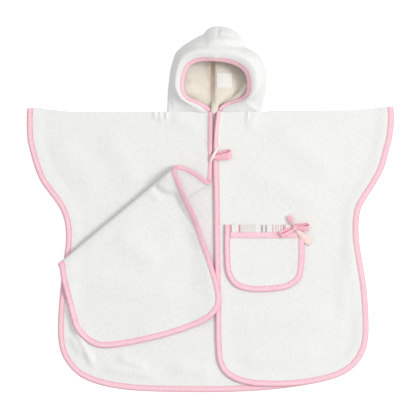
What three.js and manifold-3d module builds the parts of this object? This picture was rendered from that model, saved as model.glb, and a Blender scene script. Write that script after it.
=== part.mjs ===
// A toddler's hooded bath poncho in terry cloth, laid flat with its front up. Millimetres, +Z up.
// +X runs to the wearer's left, +Y from the hem to the hood. The origin is under the middle of the poncho.
// Two fronts lie on the back. The wearer's right front is folded into one tuck, so that its lower part
// lies over itself. Every free edge is wrapped in a binding.
import * as THREE from "three";
import { mergeVertices } from "three/addons/utils/BufferGeometryUtils.js";
import Module from "manifold-3d";

const wasm = await Module();
wasm.setup();

// Driving sizes
const CLOTH = 2.4; // terry cloth
const PRESSED = 1.6; // terry cloth inside a binding
const TAPE = 0.9; // one thickness of the binding
const SEAM = 0.3; // gap between sewn pieces
const BINDING_WIDTH = 10;
const BOUND = PRESSED + 2 * SEAM + 2 * TAPE; // a bound edge, all through
const NECK_Y = 161; // the neck seam
const LOWER_RADIUS = 2.6; // of the cloth's middle, round the tuck's hidden fold
const UPPER_RADIUS = 3.2; // and round its visible fold

// Insets from a binding's outer edge
const RIM = TAPE + 3 * SEAM; // the cloth's cut edge, a little short of the fold of its binding
const CLEAR = BINDING_WIDTH + 0.6; // just clear of the binding's inner edge

// Heights of the middle of the cloth
const BACK_Z = CLOTH / 2;
const FRONT_Z = CLOTH + SEAM + CLOTH / 2;
const EDGE_LIFT = (BOUND - CLOTH) / 2; // a bound edge stands this much higher
const OVER_BINDING = BOUND - CLOTH; // what lies on a bound edge stands this much higher

// How far a lift reaches: full up to the first distance, gone at the second
const OWN_EDGE = { full: 11, gone: 30 };
const EDGE_BELOW = { full: 14, gone: 34 };
const PAST_LOWER_FOLD = { full: 3, gone: 38 };
const BESIDE_LEFT_FRONT = { full: 3, gone: 45 };

// Cut outlines, to the outer edge of the binding

// The shoulder and neck line, which the fronts and the back share
const SHOULDER = [
  { x: -302, y: 166.6 },
  { x: -287, y: 168.5 },
  { x: -262, y: 165 },
  { x: -229, y: 161.3 },
  { x: -72, y: NECK_Y },
  { x: 86, y: NECK_Y },
  { x: 104, y: 163.3 },
  { x: 230, y: 163.7 },
  { x: 267, y: 166.8 },
  { x: 288, y: 169.4 },
  { x: 302, y: 169.1 },
];

const LEFT_SIDE = [
  { x: 240.2, y: -256.6 },
  { x: 254.3, y: -235 },
  { x: 260, y: -212 },
  { x: 260.5, y: -176 },
  { x: 257, y: -128 },
  { x: 250.6, y: -87 },
  { x: 245, y: -50 },
  { x: 244.7, y: -18 },
  { x: 248.5, y: 2.5 },
  { x: 259, y: 21 },
  { x: 274, y: 44.5 },
  { x: 286, y: 68 },
  { x: 294, y: 96 },
  { x: 300, y: 121 },
  { x: 302.6, y: 147 },
  { x: 302, y: 169.1 },
];

const RIGHT_SIDE = [
  { x: -302, y: 166.6 },
  { x: -302.5, y: 140 },
  { x: -301, y: 113 },
  { x: -296, y: 92 },
  { x: -289.5, y: 70 },
  { x: -281, y: 49 },
  { x: -269, y: 31 },
  { x: -254.5, y: 12 },
  { x: -244.5, y: -6 },
  { x: -239, y: -27 },
  { x: -238, y: -50 },
  { x: -240.5, y: -73 },
  { x: -244, y: -101 },
];

const BACK_OUTLINE = [
  ...RIGHT_SIDE,
  { x: -248.5, y: -143 },
  { x: -251, y: -179 },
  { x: -251, y: -210 },
  { x: -246.5, y: -235 },
  { x: -235.8, y: -255 },
  { x: -216, y: -274.7 },
  { x: -189, y: -287 },
  { x: -162, y: -293.7 },
  { x: -123, y: -298.6 },
  { x: -67, y: -300.6 },
  { x: 8, y: -301.2 },
  { x: 57, y: -299.8 },
  { x: 102, y: -296.7 },
  { x: 143, y: -291.6 },
  { x: 187, y: -283.2 },
  { x: 218.8, y: -272.2 },
  ...LEFT_SIDE,
];

const LEFT_FRONT_OUTLINE = [
  { x: 10, y: NECK_Y },
  { x: 7, y: 136 },
  { x: 5, y: 106 },
  { x: 4.2, y: 78 },
  { x: 5, y: 42 },
  { x: 6.4, y: -67 },
  { x: 7.9, y: -166 },
  { x: 9.4, y: -233 },
  { x: 12.5, y: -253.3 },
  { x: 21.6, y: -269.8 },
  { x: 39, y: -282 },
  { x: 65, y: -289.6 },
  { x: 98, y: -291.9 },
  { x: 141, y: -290.6 },
  { x: 187, y: -283.2 },
  { x: 218.8, y: -272.2 },
  ...LEFT_SIDE,
];

// The right front's three layers as they lie: its chest, the reversed cloth inside the tuck, and its flap
const CHEST_EDGE = [
  { x: 0.6, y: 24 },
  { x: 1, y: 42 },
  { x: 2.3, y: 73 },
  { x: 1.8, y: 106 },
  { x: 1.5, y: 136 },
  { x: 2, y: NECK_Y },
];
const TUCKED_SIDE = [
  { x: -239, y: -117 },
  { x: -244, y: -101.5 },
  { x: -249, y: -86 },
  { x: -254, y: -70 },
];
const TUCKED_EDGE = [
  { x: -84, y: 76 },
  { x: -60, y: 73.4 },
  { x: -43.6, y: 71 },
  { x: -30.4, y: 65 },
  { x: -17.2, y: 57 },
  { x: 1, y: 42.5 },
  { x: 16, y: 31 },
];
const FLAP_OUTLINE = [
  { x: -251, y: -68 },
  { x: -249, y: -86 },
  { x: -245, y: -116 },
  { x: -240.7, y: -136 },
  { x: -235.5, y: -156 },
  { x: -230.5, y: -176 },
  { x: -224, y: -196 },
  { x: -207.7, y: -215.3 },
  { x: -192, y: -225 },
  { x: -175.6, y: -228.3 },
  { x: -149, y: -226 },
  { x: -110, y: -218.6 },
  { x: -70, y: -208.7 },
  { x: -30.4, y: -195.5 },
  { x: -4, y: -183 },
  { x: 9.2, y: -170.8 },
  { x: 16.3, y: -159.2 },
  { x: 18, y: -146 },
  { x: 14.2, y: -126.2 },
  { x: 5.9, y: -96.5 },
  { x: -7.3, y: -57 },
  { x: -25.4, y: -7.4 },
  { x: -40.3, y: 22.3 },
  { x: -52.6, y: 52 },
  { x: -60, y: 72 },
  { x: -68, y: 92 },
];

// Where the hems turn into the sides
const BACK_CORNERS = [{ x: -226, y: -266 }, { x: 230, y: -265 }];
const LEFT_FRONT_CORNERS = [{ x: 19, y: -267 }, { x: 230, y: -265 }];
const FLAP_CORNERS = [{ x: -212, y: -211 }, { x: 10, y: -170 }];

const POCKET_OUTLINE = [
  { x: 21.6, y: -24.8 },
  { x: 21.6, y: -75 },
  { x: 24.9, y: -106.4 },
  { x: 38, y: -126.2 },
  { x: 62, y: -134.6 },
  { x: 101.6, y: -135 },
  { x: 131.3, y: -129.5 },
  { x: 150.3, y: -114 },
  { x: 155.6, y: -86.6 },
  { x: 155.6, y: -24.8 },
];
const POCKET_CORNERS = [{ x: 34, y: -122 }, { x: 145, y: -121 }];
const POCKET_EDGE = { full: 11, gone: 24 };
const STRIPES_WIDTH = 12;
const STRIP_WIDTH = 10.4;
const PRINTED_TAPE = 0.6;

const LABEL = { x: 23.2, y: 211.2, width: 28, thickness: 0.6 };

// The hood: half of it from its face edge over the side to its centre seam, row by row from neck to crown
const HOOD_CLOTH = 2.2;
const FLOOR = HOOD_CLOTH / 2;
const LEFT_HOOD = [
  [[12.5, 162.2, 4.8], [48, 161.8, 4.2], [82, 162.4, 2.9], [48, 161.6, FLOOR], [4.3, 161.6, FLOOR]],
  [[36.5, 178, 14], [63, 176, 18], [86, 176, 8], [58, 186, FLOOR], [4.3, 190, FLOOR]],
  [[59, 191.5, 22], [76, 191, 26], [90, 196, 12], [60, 213, FLOOR], [4.3, 220, FLOOR]],
  [[61, 213, 28], [78, 217, 32], [90.5, 224, 15], [60, 243, FLOOR], [4.3, 248, FLOOR]],
  [[44, 236, 37], [60, 250, 41], [76, 257, 23], [52, 272, 4], [5.3, 276, FLOOR]],
  [[25, 242.5, 40], [33, 260, 44], [46, 279, 24], [38, 292, 9], [8.3, 295, 2]],
  [[8.3, 244.5, 42], [8.3, 260, 46], [8.3, 277, 31], [8.3, 292, 16], [8.3, 300.1, 8]],
];
const RIGHT_HOOD = [
  [[-0.5, 162.2, 4.8], [-33, 161.8, 4.2], [-68, 162.4, 2.9], [-33, 161.6, FLOOR], [4, 161.6, FLOOR]],
  [[-27, 179.5, 14], [-50, 177, 18], [-68, 178, 8], [-45, 187, FLOOR], [4, 190, FLOOR]],
  [[-44, 193.5, 22], [-57, 193, 26], [-67.5, 199, 12], [-45, 213, FLOOR], [4, 220, FLOOR]],
  [[-44.5, 212, 28], [-56, 217, 32], [-64.5, 226, 15], [-42, 243, FLOOR], [4, 248, FLOOR]],
  [[-34.5, 237, 37], [-46, 250, 41], [-56, 256, 23], [-36, 271, 4], [5, 276, FLOOR]],
  [[-18, 244, 40], [-24, 261, 44], [-33, 274, 24], [-19, 286, 9], [8, 295, 2]],
  [[8, 244.5, 42], [8, 260, 46], [8, 277, 31], [8, 292, 16], [8, 300.1, 8]],
];

// The two tied ribbons: a knot, and the far end of each loop and tail
const LOOP_HEIGHT = 2.6;
const TAIL_ARCH = 0.4;
const POCKET_BOW = {
  knot: { x: 139.6, y: -30.5, z: 10.6, long: 9, wide: 10, thick: 4.4, turn: 0.3 },
  arms: [
    { x: 129, y: -11.5, z: 8.6, width: 6 },
    { x: 166, y: -57, z: 10, width: 8 },
    { x: 163, y: -25.6, z: 10.6, width: 9, loop: true },
    { x: 113.2, y: -40.4, z: 10.4, width: 9, loop: true },
  ],
};
const NECK_TIE = {
  knot: { x: 2.6, y: 86.6, z: 7.6, long: 8, wide: 9, thick: 4.2, turn: 0.4 },
  arms: [
    { x: 12.5, y: 103, z: 7.6, width: 4 },
    { x: 0.6, y: 76, z: 7.6, width: 4 },
    { x: 33, y: 90, z: 7.6, width: 11, loop: true },
  ],
};

const UP = new THREE.Vector3(0, 0, 1);
const flat = (table) => table.map(({ x, y }) => new THREE.Vector3(x, y, 0));
const mix = (a, b, share) => a.clone().lerp(b, share);
const spread = (from, to, count) => Array.from({ length: count + 1 }, (_, i) => from + ((to - from) * i) / count);

// 1 up to the first distance, falling smoothly to 0 at the second
const nearness = (distance, { full, gone }) => 1 - THREE.MathUtils.smoothstep(distance, full, gone);

// An outline whose cloth is on its left, or on its right where side is -1
class Outline {
  constructor(table, side = 1) {
    this.curve = new THREE.CatmullRomCurve3(flat(table), false, "centripetal");
    this.curve.arcLengthDivisions = 1200;
    this.side = side;
    this.trace = this.curve.getSpacedPoints(240);
  }

  // The point at a share of the length, moved in by a distance
  at(share, inset = 0) {
    const along = this.curve.getTangentAt(share);
    const inward = new THREE.Vector3(-along.y, along.x, 0).multiplyScalar(this.side);
    return this.curve.getPointAt(share).addScaledVector(inward, inset);
  }

  // The share of the length that comes nearest a place
  shareNear({ x, y }) {
    const place = new THREE.Vector3(x, y, 0);
    const distances = this.trace.map((p) => p.distanceTo(place));
    return distances.indexOf(Math.min(...distances)) / (this.trace.length - 1);
  }

  // The share at which the outline, moved in, crosses the line where a tuck's layer starts to bend
  shareAtBend(fold, inset) {
    const steps = this.trace.length - 1;
    const height = (share) => fold.past(this.at(share, inset)) + fold.reach;
    const step = spread(0, 1, steps).findIndex((share) => height(share) * height(share + 1 / steps) <= 0);
    let [low, high] = [step / steps, (step + 1) / steps];
    for (let halving = 0; halving < 30; halving++) {
      const middle = (low + high) / 2;
      if (height(low) * height(middle) <= 0) high = middle;
      else low = middle;
    }
    return (low + high) / 2;
  }

  // Shares between two others, closer together where the outline turns
  shares(from, to, count) {
    const turns = [0];
    for (let i = 1; i < this.trace.length; i++) {
      const step = this.trace[i].distanceTo(this.trace[i - 1]);
      const before = this.curve.getTangentAt((i - 1) / (this.trace.length - 1));
      const turn = before.angleTo(this.curve.getTangentAt(i / (this.trace.length - 1)));
      turns.push(turns[i - 1] + step + MM_PER_TURN * turn);
    }
    const wayAt = (share) => {
      const place = share * (turns.length - 1);
      const i = Math.min(Math.floor(place), turns.length - 2);
      return turns[i] + (turns[i + 1] - turns[i]) * (place - i);
    };
    return spread(wayAt(from), wayAt(to), count).map((way) => {
      const i = Math.min(Math.max(turns.findIndex((turn) => turn > way), 1), turns.length - 1);
      const place = i - 1 + (way - turns[i - 1]) / (turns[i] - turns[i - 1]);
      return THREE.MathUtils.clamp(place / (turns.length - 1), 0, 1);
    });
  }

  distance(place) {
    const line = new THREE.Line3();
    const nearest = new THREE.Vector3();
    const level = new THREE.Vector3(place.x, place.y, 0);
    let least = Infinity;
    for (let i = 1; i < this.trace.length; i++) {
      line.set(this.trace[i - 1], this.trace[i]).closestPointToPoint(level, true, nearest);
      least = Math.min(least, nearest.distanceTo(level));
    }
    return least;
  }
}
const MM_PER_TURN = 45; // a radian of turn counts as this much more length

// A fold of the tuck: a line in plan that the cloth reaches from inside and turns back from
class Fold {
  constructor(left, right, radius, outward) {
    this.left = left;
    this.across = right.clone().sub(left).normalize();
    this.outward = new THREE.Vector3(this.across.y, -this.across.x, 0).multiplyScalar(outward);
    this.radius = radius;
    this.reach = radius + CLOTH / 2; // from the fold's outermost line to where the cloth starts to bend
  }

  past(place) {
    return new THREE.Vector3(place.x, place.y, 0).sub(this.left).dot(this.outward);
  }
}
const LOWER_FOLD = new Fold(new THREE.Vector3(-244, -101.5, 0), new THREE.Vector3(0, 43, 0), LOWER_RADIUS, 1);
const UPPER_FOLD = new Fold(new THREE.Vector3(-249, -88, 0), new THREE.Vector3(-59, 70, 0), UPPER_RADIUS, -1);

const shoulderAt = (x) => {
  const i = Math.min(Math.max(SHOULDER.findIndex((row) => row.x > x), 1), SHOULDER.length - 1);
  const [a, b] = [SHOULDER[i - 1], SHOULDER[i]];
  return new THREE.Vector3(x, a.y + ((b.y - a.y) * (x - a.x)) / (b.x - a.x), 0);
};

// A grid of points inside four boundary rows: two across with as many points, two down with as many points
function patch(top, bottom, left, right) {
  const across = top.length - 1;
  const down = left.length - 1;
  return left.map((_, j) =>
    top.map((_, i) => {
      const [u, v] = [i / across, j / down];
      const ruled = mix(top[i], bottom[i], v).add(mix(left[j], right[j], u));
      return ruled.sub(mix(mix(top[0], top[across], u), mix(bottom[0], bottom[across], u), v));
    }),
  );
}

function geometryOf(points, faces) {
  const geometry = new THREE.BufferGeometry().setFromPoints(points);
  geometry.setIndex(faces.flat());
  geometry.computeVertexNormals();
  return geometry;
}

// The middle surface of a piece of cloth: points with half thicknesses, and triangles between them
class Sheet {
  constructor() {
    this.points = [];
    this.halves = [];
    this.triangles = [];
    this.given = new Map(); // the points whose normal is known
  }

  row(points, half) {
    return points.map((point) => {
      this.points.push(point);
      this.halves.push(half);
      return this.points.length - 1;
    });
  }

  // Two rows of as many points are joined by cells
  join(a, b) {
    for (let i = 1; i < a.length; i++) {
      this.triangles.push([a[i - 1], b[i - 1], b[i]], [a[i - 1], b[i], a[i]]);
    }
  }

  normals() {
    const sums = this.points.map(() => new THREE.Vector3());
    const face = new THREE.Triangle();
    const normal = new THREE.Vector3();
    for (const corners of this.triangles) {
      face.set(...corners.map((k) => this.points[k])).getNormal(normal);
      corners.forEach((k) => sums[k].addScaledVector(normal, face.getArea()));
    }
    return sums.map((sum, k) => this.given.get(k) ?? sum.normalize());
  }

  // The closed wall round the surface
  wall() {
    const normals = this.normals();
    const count = this.points.length;
    const sides = [1, -1].flatMap((side) =>
      this.points.map((point, k) => point.clone().addScaledVector(normals[k], side * this.halves[k])),
    );
    const edges = new Map();
    for (const [a, b, c] of this.triangles) {
      for (const edge of [[a, b], [b, c], [c, a]]) edges.set(edge.join(), edge);
    }
    const faces = this.triangles.flatMap(([a, b, c]) => [[a, b, c], [a + count, c + count, b + count]]);
    for (const [a, b] of edges.values()) {
      if (!edges.has([b, a].join())) faces.push([a, a + count, b + count], [a, b + count, b]);
    }
    return geometryOf(sides, faces);
  }
}

// A closed solid swept through sections, each a ring of as many points. The cells of one side of the ring
// can be split along their other diagonal.
function sweep(sections, otherSplit) {
  const size = sections[0].length;
  const faces = [];
  sections.slice(1).forEach((_, k) => {
    for (let i = 0; i < size; i++) {
      const [a, b] = [k * size + i, k * size + ((i + 1) % size)];
      if (i === otherSplit) faces.push([a, b, a + size], [b, b + size, a + size]);
      else faces.push([a, b, b + size], [a, b + size, a + size]);
    }
  });
  const last = (sections.length - 1) * size;
  const cap = THREE.ShapeUtils.triangulateShape(flatRing(sections[0]), []);
  cap.forEach(([a, b, c]) => faces.push([a, c, b], [last + a, last + b, last + c]));
  return geometryOf(sections.flat(), faces);
}

// A ring of points laid into its own plane
function flatRing(ring) {
  const across = ring[1].clone().sub(ring[0]).normalize();
  const normal = new THREE.Vector3();
  ring.forEach((p, i) => {
    const q = ring[(i + 1) % ring.length];
    normal.add(p.clone().sub(ring[0]).cross(q.clone().sub(ring[0])));
  });
  const up = normal.normalize().cross(across);
  return ring.map((p) => {
    const from = p.clone().sub(ring[0]);
    return new THREE.Vector2(from.dot(across), from.dot(up));
  });
}

// A panel is a grid of rows with the cloth's cut edge round it: down its first column, along its last row
// and up its last column
function boundLoop(rows) {
  const last = rows.length - 1;
  const down = rows.map((row) => row[0]);
  const up = rows.slice(0, last).reverse().map((row) => row.at(-1));
  return [...down, ...rows[last].slice(1), ...up];
}

function panel({ rows, rim }) {
  const sheet = new Sheet();
  const grid = rows.map((row) => sheet.row(row, CLOTH / 2));
  const loop = boundLoop(grid);
  loop.forEach((k) => (sheet.halves[k] = PRESSED / 2));
  grid.slice(1).forEach((row, j) => sheet.join(grid[j], row));
  const cut = sheet.row(rim, PRESSED / 2);
  sheet.join(loop, cut);
  edgeNormals(rim, boundLoop(rows)).forEach((normal, k) => {
    sheet.given.set(loop[k], normal);
    sheet.given.set(cut[k], normal);
  });
  return sheet.wall();
}

// The binding's folded section: how far in from its outer edge, and how far from the cloth's middle
const INNER_HALF = PRESSED / 2 + SEAM;
const OUTER_HALF = BOUND / 2;
const BINDING_SECTION = [
  { inward: BINDING_WIDTH, out: -OUTER_HALF },
  { inward: 0.5, out: -OUTER_HALF },
  { inward: 0, out: 0 },
  { inward: 0.5, out: OUTER_HALF },
  { inward: BINDING_WIDTH, out: OUTER_HALF },
  { inward: BINDING_WIDTH, out: INNER_HALF },
  { inward: TAPE, out: INNER_HALF },
  { inward: TAPE, out: -INNER_HALF },
  { inward: BINDING_WIDTH, out: -INNER_HALF },
];
// The inner sides of the section, of which one is split as the cloth beside it is
const UPPER_INSIDE = 5;
const LOWER_INSIDE = 7;

// The cloth's normal along a bound edge. Inner runs beside the cut edge, just clear of the binding.
function edgeNormals(rim, inner) {
  return rim.map((cut, k) => {
    const along = rim[Math.min(k + 1, rim.length - 1)].clone().sub(rim[Math.max(k - 1, 0)]);
    return along.cross(inner[k].clone().sub(cut)).normalize();
  });
}

function binding(rim, inner, otherSplit = UPPER_INSIDE) {
  const normals = edgeNormals(rim, inner);
  const sections = rim.map((cut, k) => {
    const slant = inner[k].distanceTo(cut) / (CLEAR - RIM);
    const inward = inner[k].clone().sub(cut).normalize().multiplyScalar(slant);
    const out = normals[k];
    const edge = cut.clone().addScaledVector(inward, -RIM);
    return BINDING_SECTION.map((row) => edge.clone().addScaledVector(inward, row.inward).addScaledVector(out, row.out));
  });
  return sweep(sections.reverse(), otherSplit);
}

// The height of the top of some pieces at a place in plan
function topOf(geometries, place) {
  const ray = new THREE.Raycaster(new THREE.Vector3(place.x, place.y, 100), UP.clone().negate());
  const material = new THREE.MeshBasicMaterial({ side: THREE.DoubleSide });
  const hits = geometries.flatMap((geometry) => ray.intersectObject(new THREE.Mesh(geometry, material)));
  return Math.max(0, ...hits.map((hit) => hit.point.z));
}

const finishes = {
  terry: new THREE.MeshStandardMaterial({ color: 0xf1f1ec, roughness: 0.95, metalness: 0 }),
  hood: new THREE.MeshStandardMaterial({ color: 0xefeee8, roughness: 0.95, metalness: 0 }),
  binding: new THREE.MeshStandardMaterial({ color: 0xf6c3d0, roughness: 0.8, metalness: 0 }),
  stripes: new THREE.MeshStandardMaterial({ color: 0xe6d9da, roughness: 0.7, metalness: 0 }),
  label: new THREE.MeshStandardMaterial({ color: 0xf7f5f0, roughness: 0.6, metalness: 0 }),
};

const poncho = new THREE.Group();
function add(name, geometry, finish) {
  const mesh = new THREE.Mesh(geometry, finishes[finish]);
  mesh.name = name;
  poncho.add(mesh);
}

const backOutline = new Outline(BACK_OUTLINE);
const leftOutline = new Outline(LEFT_FRONT_OUTLINE);
const rightSide = new Outline(RIGHT_SIDE);
const chestEdge = new Outline(CHEST_EDGE);
const tuckedSide = new Outline(TUCKED_SIDE, -1);
const tuckedEdge = new Outline(TUCKED_EDGE, -1);
const flapOutline = new Outline(FLAP_OUTLINE);

// A flat panel: its outline's shares down one side, along the hem and up the other, below its top line
function flatPanel(outline, corners, cells, topLine, height) {
  const [first, second] = corners.map((place) => outline.shareNear(place));
  const shares = [
    ...outline.shares(0, first, cells.down),
    ...outline.shares(first, second, cells.across).slice(1),
    ...outline.shares(second, 1, cells.down).slice(1),
  ];
  const last = shares.length - 1;
  const inset = (distance) =>
    shares.map((share, k) => {
      const point = outline.at(share, distance);
      return height(k === 0 || k === last ? topLine(point.x) : point);
    });
  const rim = inset(RIM);
  const inner = inset(CLEAR);
  const left = inner.slice(0, cells.down + 1);
  const hem = inner.slice(cells.down, cells.down + cells.across + 1);
  const right = inner.slice(cells.down + cells.across).reverse();
  const top = spread(left[0].x, right[0].x, cells.across).map((x) => height(topLine(x)));
  return { rows: patch(top, hem, left, right).map((row) => row.map(height)), rim };
}

function addBoundPanel(name, { rows, rim }, finish) {
  const geometry = panel({ rows, rim });
  const edging = binding(rim, boundLoop(rows));
  add(`${name}_panel`, geometry, finish);
  add(`${name}_binding`, edging, "binding");
  return [geometry, edging];
}

const backHeight = (p) => p.setZ(BACK_Z + EDGE_LIFT * nearness(backOutline.distance(p), OWN_EDGE));

// A front lies on the back, higher on its bound edge and again where its own edge is bound
function frontHeight(p, ownEdges) {
  const own = Math.max(...ownEdges.map((edge) => nearness(edge.distance(p), OWN_EDGE)));
  const below = nearness(backOutline.distance(p), EDGE_BELOW);
  return p.setZ(FRONT_Z + EDGE_LIFT * own + OVER_BINDING * below);
}

addBoundPanel("back", flatPanel(backOutline, BACK_CORNERS, { down: 20, across: 20 }, shoulderAt, backHeight), "terry");

const leftCells = { down: 20, across: 11 };
const leftHeight = (p) => frontHeight(p, [leftOutline]);
const leftFront = flatPanel(leftOutline, LEFT_FRONT_CORNERS, leftCells, shoulderAt, leftHeight);
const leftPieces = addBoundPanel("left_front", leftFront, "terry");

// The right front's three layers, each a grid with the cut edge down both its sides
const FRONT_CELLS = 11;
const BEND_CELLS = 6;

function side(outline, rimShares, innerShares, height) {
  return {
    rim: rimShares.map((share) => height(outline.at(share, RIM))),
    inner: innerShares.map((share) => height(outline.at(share, CLEAR))),
  };
}

function layer(left, right, height, top, bottom) {
  const line = (row) => spread(0, 1, FRONT_CELLS).map((share) => mix(left.inner.at(row), right.inner.at(row), share));
  const rows = patch(top ?? line(0), bottom ?? line(-1), left.inner, right.inner);
  return { rows: rows.map((row) => row.map(height)), left: left.rim, right: right.rim };
}

function chestLayer(cells) {
  const height = (p) => frontHeight(p, [rightSide, chestEdge]);
  const run = (outline, from) => {
    const shares = (inset) => outline.shares(from, outline.shareAtBend(LOWER_FOLD, inset), cells);
    const points = side(outline, shares(RIM), shares(CLEAR), height);
    for (const row of [points.rim, points.inner]) row[0] = height(shoulderAt(row[0].x));
    return points;
  };
  const [left, right] = [run(rightSide, 0), run(chestEdge, 1)];
  const top = spread(left.inner[0].x, right.inner[0].x, FRONT_CELLS).map((x) => height(shoulderAt(x)));
  return layer(left, right, height, top);
}

function tuckedLayer(cells) {
  const height = (p) => frontHeight(p, [rightSide, chestEdge]).setZ(p.z + 2 * LOWER_RADIUS);
  const run = (outline) => {
    const shares = (inset) =>
      outline.shares(outline.shareAtBend(LOWER_FOLD, inset), outline.shareAtBend(UPPER_FOLD, inset), cells);
    return side(outline, shares(RIM), shares(CLEAR), height);
  };
  return layer(run(tuckedSide), run(tuckedEdge), height);
}

// The flap falls from the tuck onto the back, and its corner climbs the left front's bound edge
function flapHeight(p) {
  const tuck = 2 * (LOWER_RADIUS + UPPER_RADIUS) * nearness(LOWER_FOLD.past(p), PAST_LOWER_FOLD);
  const corner = p.y < 0 ? (BOUND + SEAM) * nearness(LEFT_FRONT_OUTLINE[5].x - p.x, BESIDE_LEFT_FRONT) : 0;
  return frontHeight(p, [flapOutline]).setZ(p.z + Math.max(tuck, corner));
}

function flapLayer(cells) {
  const [first, second] = FLAP_CORNERS.map((place) => flapOutline.shareNear(place));
  const run = (from, corner, table) => {
    const start = (inset) => {
      const half = new Outline(table);
      return flapOutline.shareNear(half.at(half.shareAtBend(UPPER_FOLD, inset)));
    };
    return side(flapOutline, flapOutline.shares(start(RIM), corner, cells), flapOutline.shares(start(CLEAR), corner, cells), flapHeight);
  };
  const left = run(0, first, FLAP_OUTLINE.slice(0, 5));
  const right = run(1, second, FLAP_OUTLINE.slice(-5));
  const hem = flapOutline.shares(first, second, FRONT_CELLS);
  const bottom = hem.map((share) => flapHeight(flapOutline.at(share, CLEAR)));
  const made = layer(left, right, flapHeight, undefined, bottom);
  return { ...made, hem: hem.map((share) => flapHeight(flapOutline.at(share, RIM))) };
}

// The rows round a fold, between the last row of the layer below and the first of the layer above
function bend(below, above, fold) {
  return spread(0, 1, BEND_CELLS).slice(1, -1).map((share) =>
    below.map((point, i) => {
      const turn = Math.PI * share;
      const bent = mix(point, above[i], share).addScaledVector(fold.outward, fold.radius * Math.sin(turn));
      return bent.setZ(THREE.MathUtils.lerp(point.z, above[i].z, (1 - Math.cos(turn)) / 2));
    }),
  );
}

function rightFront() {
  const [chest, tucked, flap] = [chestLayer(10), tuckedLayer(3), flapLayer(13)];
  const whole = ({ rows, left, right }) => rows.map((row, j) => [left[j], ...row, right[j]]);
  const [low, middle, high] = [chest, tucked, flap].map(whole);
  const all = [
    ...low,
    ...bend(low.at(-1), middle[0], LOWER_FOLD),
    ...middle,
    ...bend(middle.at(-1), high[0], UPPER_FOLD),
    ...high,
  ];
  const rim = [...all.map((row) => row[0]), ...flap.hem.slice(1, -1), ...all.map((row) => row.at(-1)).reverse()];
  return { rows: all.map((row) => row.slice(1, -1)), rim };
}
addBoundPanel("right_front", rightFront(), "terry");

// A hood half: rows from neck to crown, each from the face edge to the centre seam. The second point of a
// row is just clear of the binding.
const CELLS_PER_STATION = 2;

function hoodHalf(stations) {
  const smooth = (points) => new THREE.CatmullRomCurve3(points, false, "centripetal");
  const steps = CELLS_PER_STATION * (stations[0].length - 1);
  const sections = stations.map((station) => {
    const curve = smooth(station.map((p) => new THREE.Vector3(...p)));
    const clear = curve.getPointAt((CLEAR - RIM) / curve.getLength());
    const rest = spread(0, 1, steps).slice(CELLS_PER_STATION).map((share) => curve.getPoint(share));
    return [curve.getPoint(0), clear, ...rest];
  });
  const columns = sections[0].map((_, i) => smooth(sections.map((section) => section[i])));
  return spread(0, 1, CELLS_PER_STATION * (stations.length - 1)).map((share) =>
    columns.map((column) => {
      const point = column.getPoint(share);
      return point.setZ(Math.max(point.z, FLOOR));
    }),
  );
}

// The middle of the seam's wall stays upright, so that the halves meet without crossing
const withoutSlope = (normal) => normal.clone().setX(0).normalize();

function hoodWall(rows, faceNormals, mirrored) {
  const sheet = new Sheet();
  const grid = rows.map((row) => sheet.row(row, HOOD_CLOTH / 2));
  grid.slice(1).forEach((row, j) => (mirrored ? sheet.join(row, grid[j]) : sheet.join(grid[j], row)));
  const normals = sheet.normals();
  [...grid.at(-1), ...grid.map((row) => row.at(-1))].forEach((k) => sheet.given.set(k, withoutSlope(normals[k])));
  grid.forEach((row, j) =>
    row.slice(0, 2).forEach((k) => {
      sheet.halves[k] = PRESSED / 2;
      sheet.given.set(k, faceNormals[j]);
    }),
  );
  return sheet.wall();
}

// The hood's binding goes up its left face edge, over the brow and down its right face edge
const leftHood = hoodHalf(LEFT_HOOD);
const rightHood = hoodHalf(RIGHT_HOOD);
const faceRow = (i) => {
  const [up, down] = [leftHood, rightHood].map((rows) => rows.map((row) => row[i]));
  const brow = mix(up.at(-1), down.at(-1), 0.5);
  return [...up.slice(0, -1), brow, ...down.slice(0, -1).reverse()];
};
const faceNormals = edgeNormals(faceRow(0), faceRow(1));
add("hood_left", hoodWall(leftHood, faceNormals, false), "hood");
add("hood_right", hoodWall(rightHood, faceNormals.slice().reverse(), true), "hood");
add("hood_binding", binding(faceRow(0), faceRow(1), LOWER_INSIDE), "binding");

// A flat piece laid on others: a grid between two corners in plan, lifted onto what is below
function laid(from, to, cells, below, thickness) {
  const sheet = new Sheet();
  const grid = spread(from.y, to.y, cells.down).map((y) => {
    const row = spread(from.x, to.x, cells.across).map((x) => new THREE.Vector3(x, y, 0));
    row.forEach((p) => p.setZ(topOf(below, p) + SEAM + thickness / 2));
    return sheet.row(row, thickness / 2);
  });
  grid.slice(1).forEach((row, j) => sheet.join(grid[j], row));
  return sheet.wall();
}

// The label lies inside the hood, on the layer that is on the floor
const LABEL_Z = HOOD_CLOTH + SEAM + LABEL.thickness / 2;
const labelShape = new THREE.BoxGeometry(LABEL.width, LABEL.width, LABEL.thickness);
add("label", labelShape.translate(LABEL.x, LABEL.y, LABEL_Z), "label");

// The pocket lies on the left front, with the printed tape and a plain strip across its top
const pocketOutline = new Outline(POCKET_OUTLINE);
const pocketTop = (x) => new THREE.Vector3(x, POCKET_OUTLINE[0].y, 0);
const pocketHeight = (p) => {
  const own = nearness(pocketOutline.distance(p), POCKET_EDGE);
  return p.setZ(topOf(leftPieces, p) + SEAM + CLOTH / 2 + EDGE_LIFT * own);
};
const pocket = flatPanel(pocketOutline, POCKET_CORNERS, { down: 7, across: 6 }, pocketTop, pocketHeight);
const [pocketCloth] = addBoundPanel("pocket", pocket, "terry");

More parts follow.
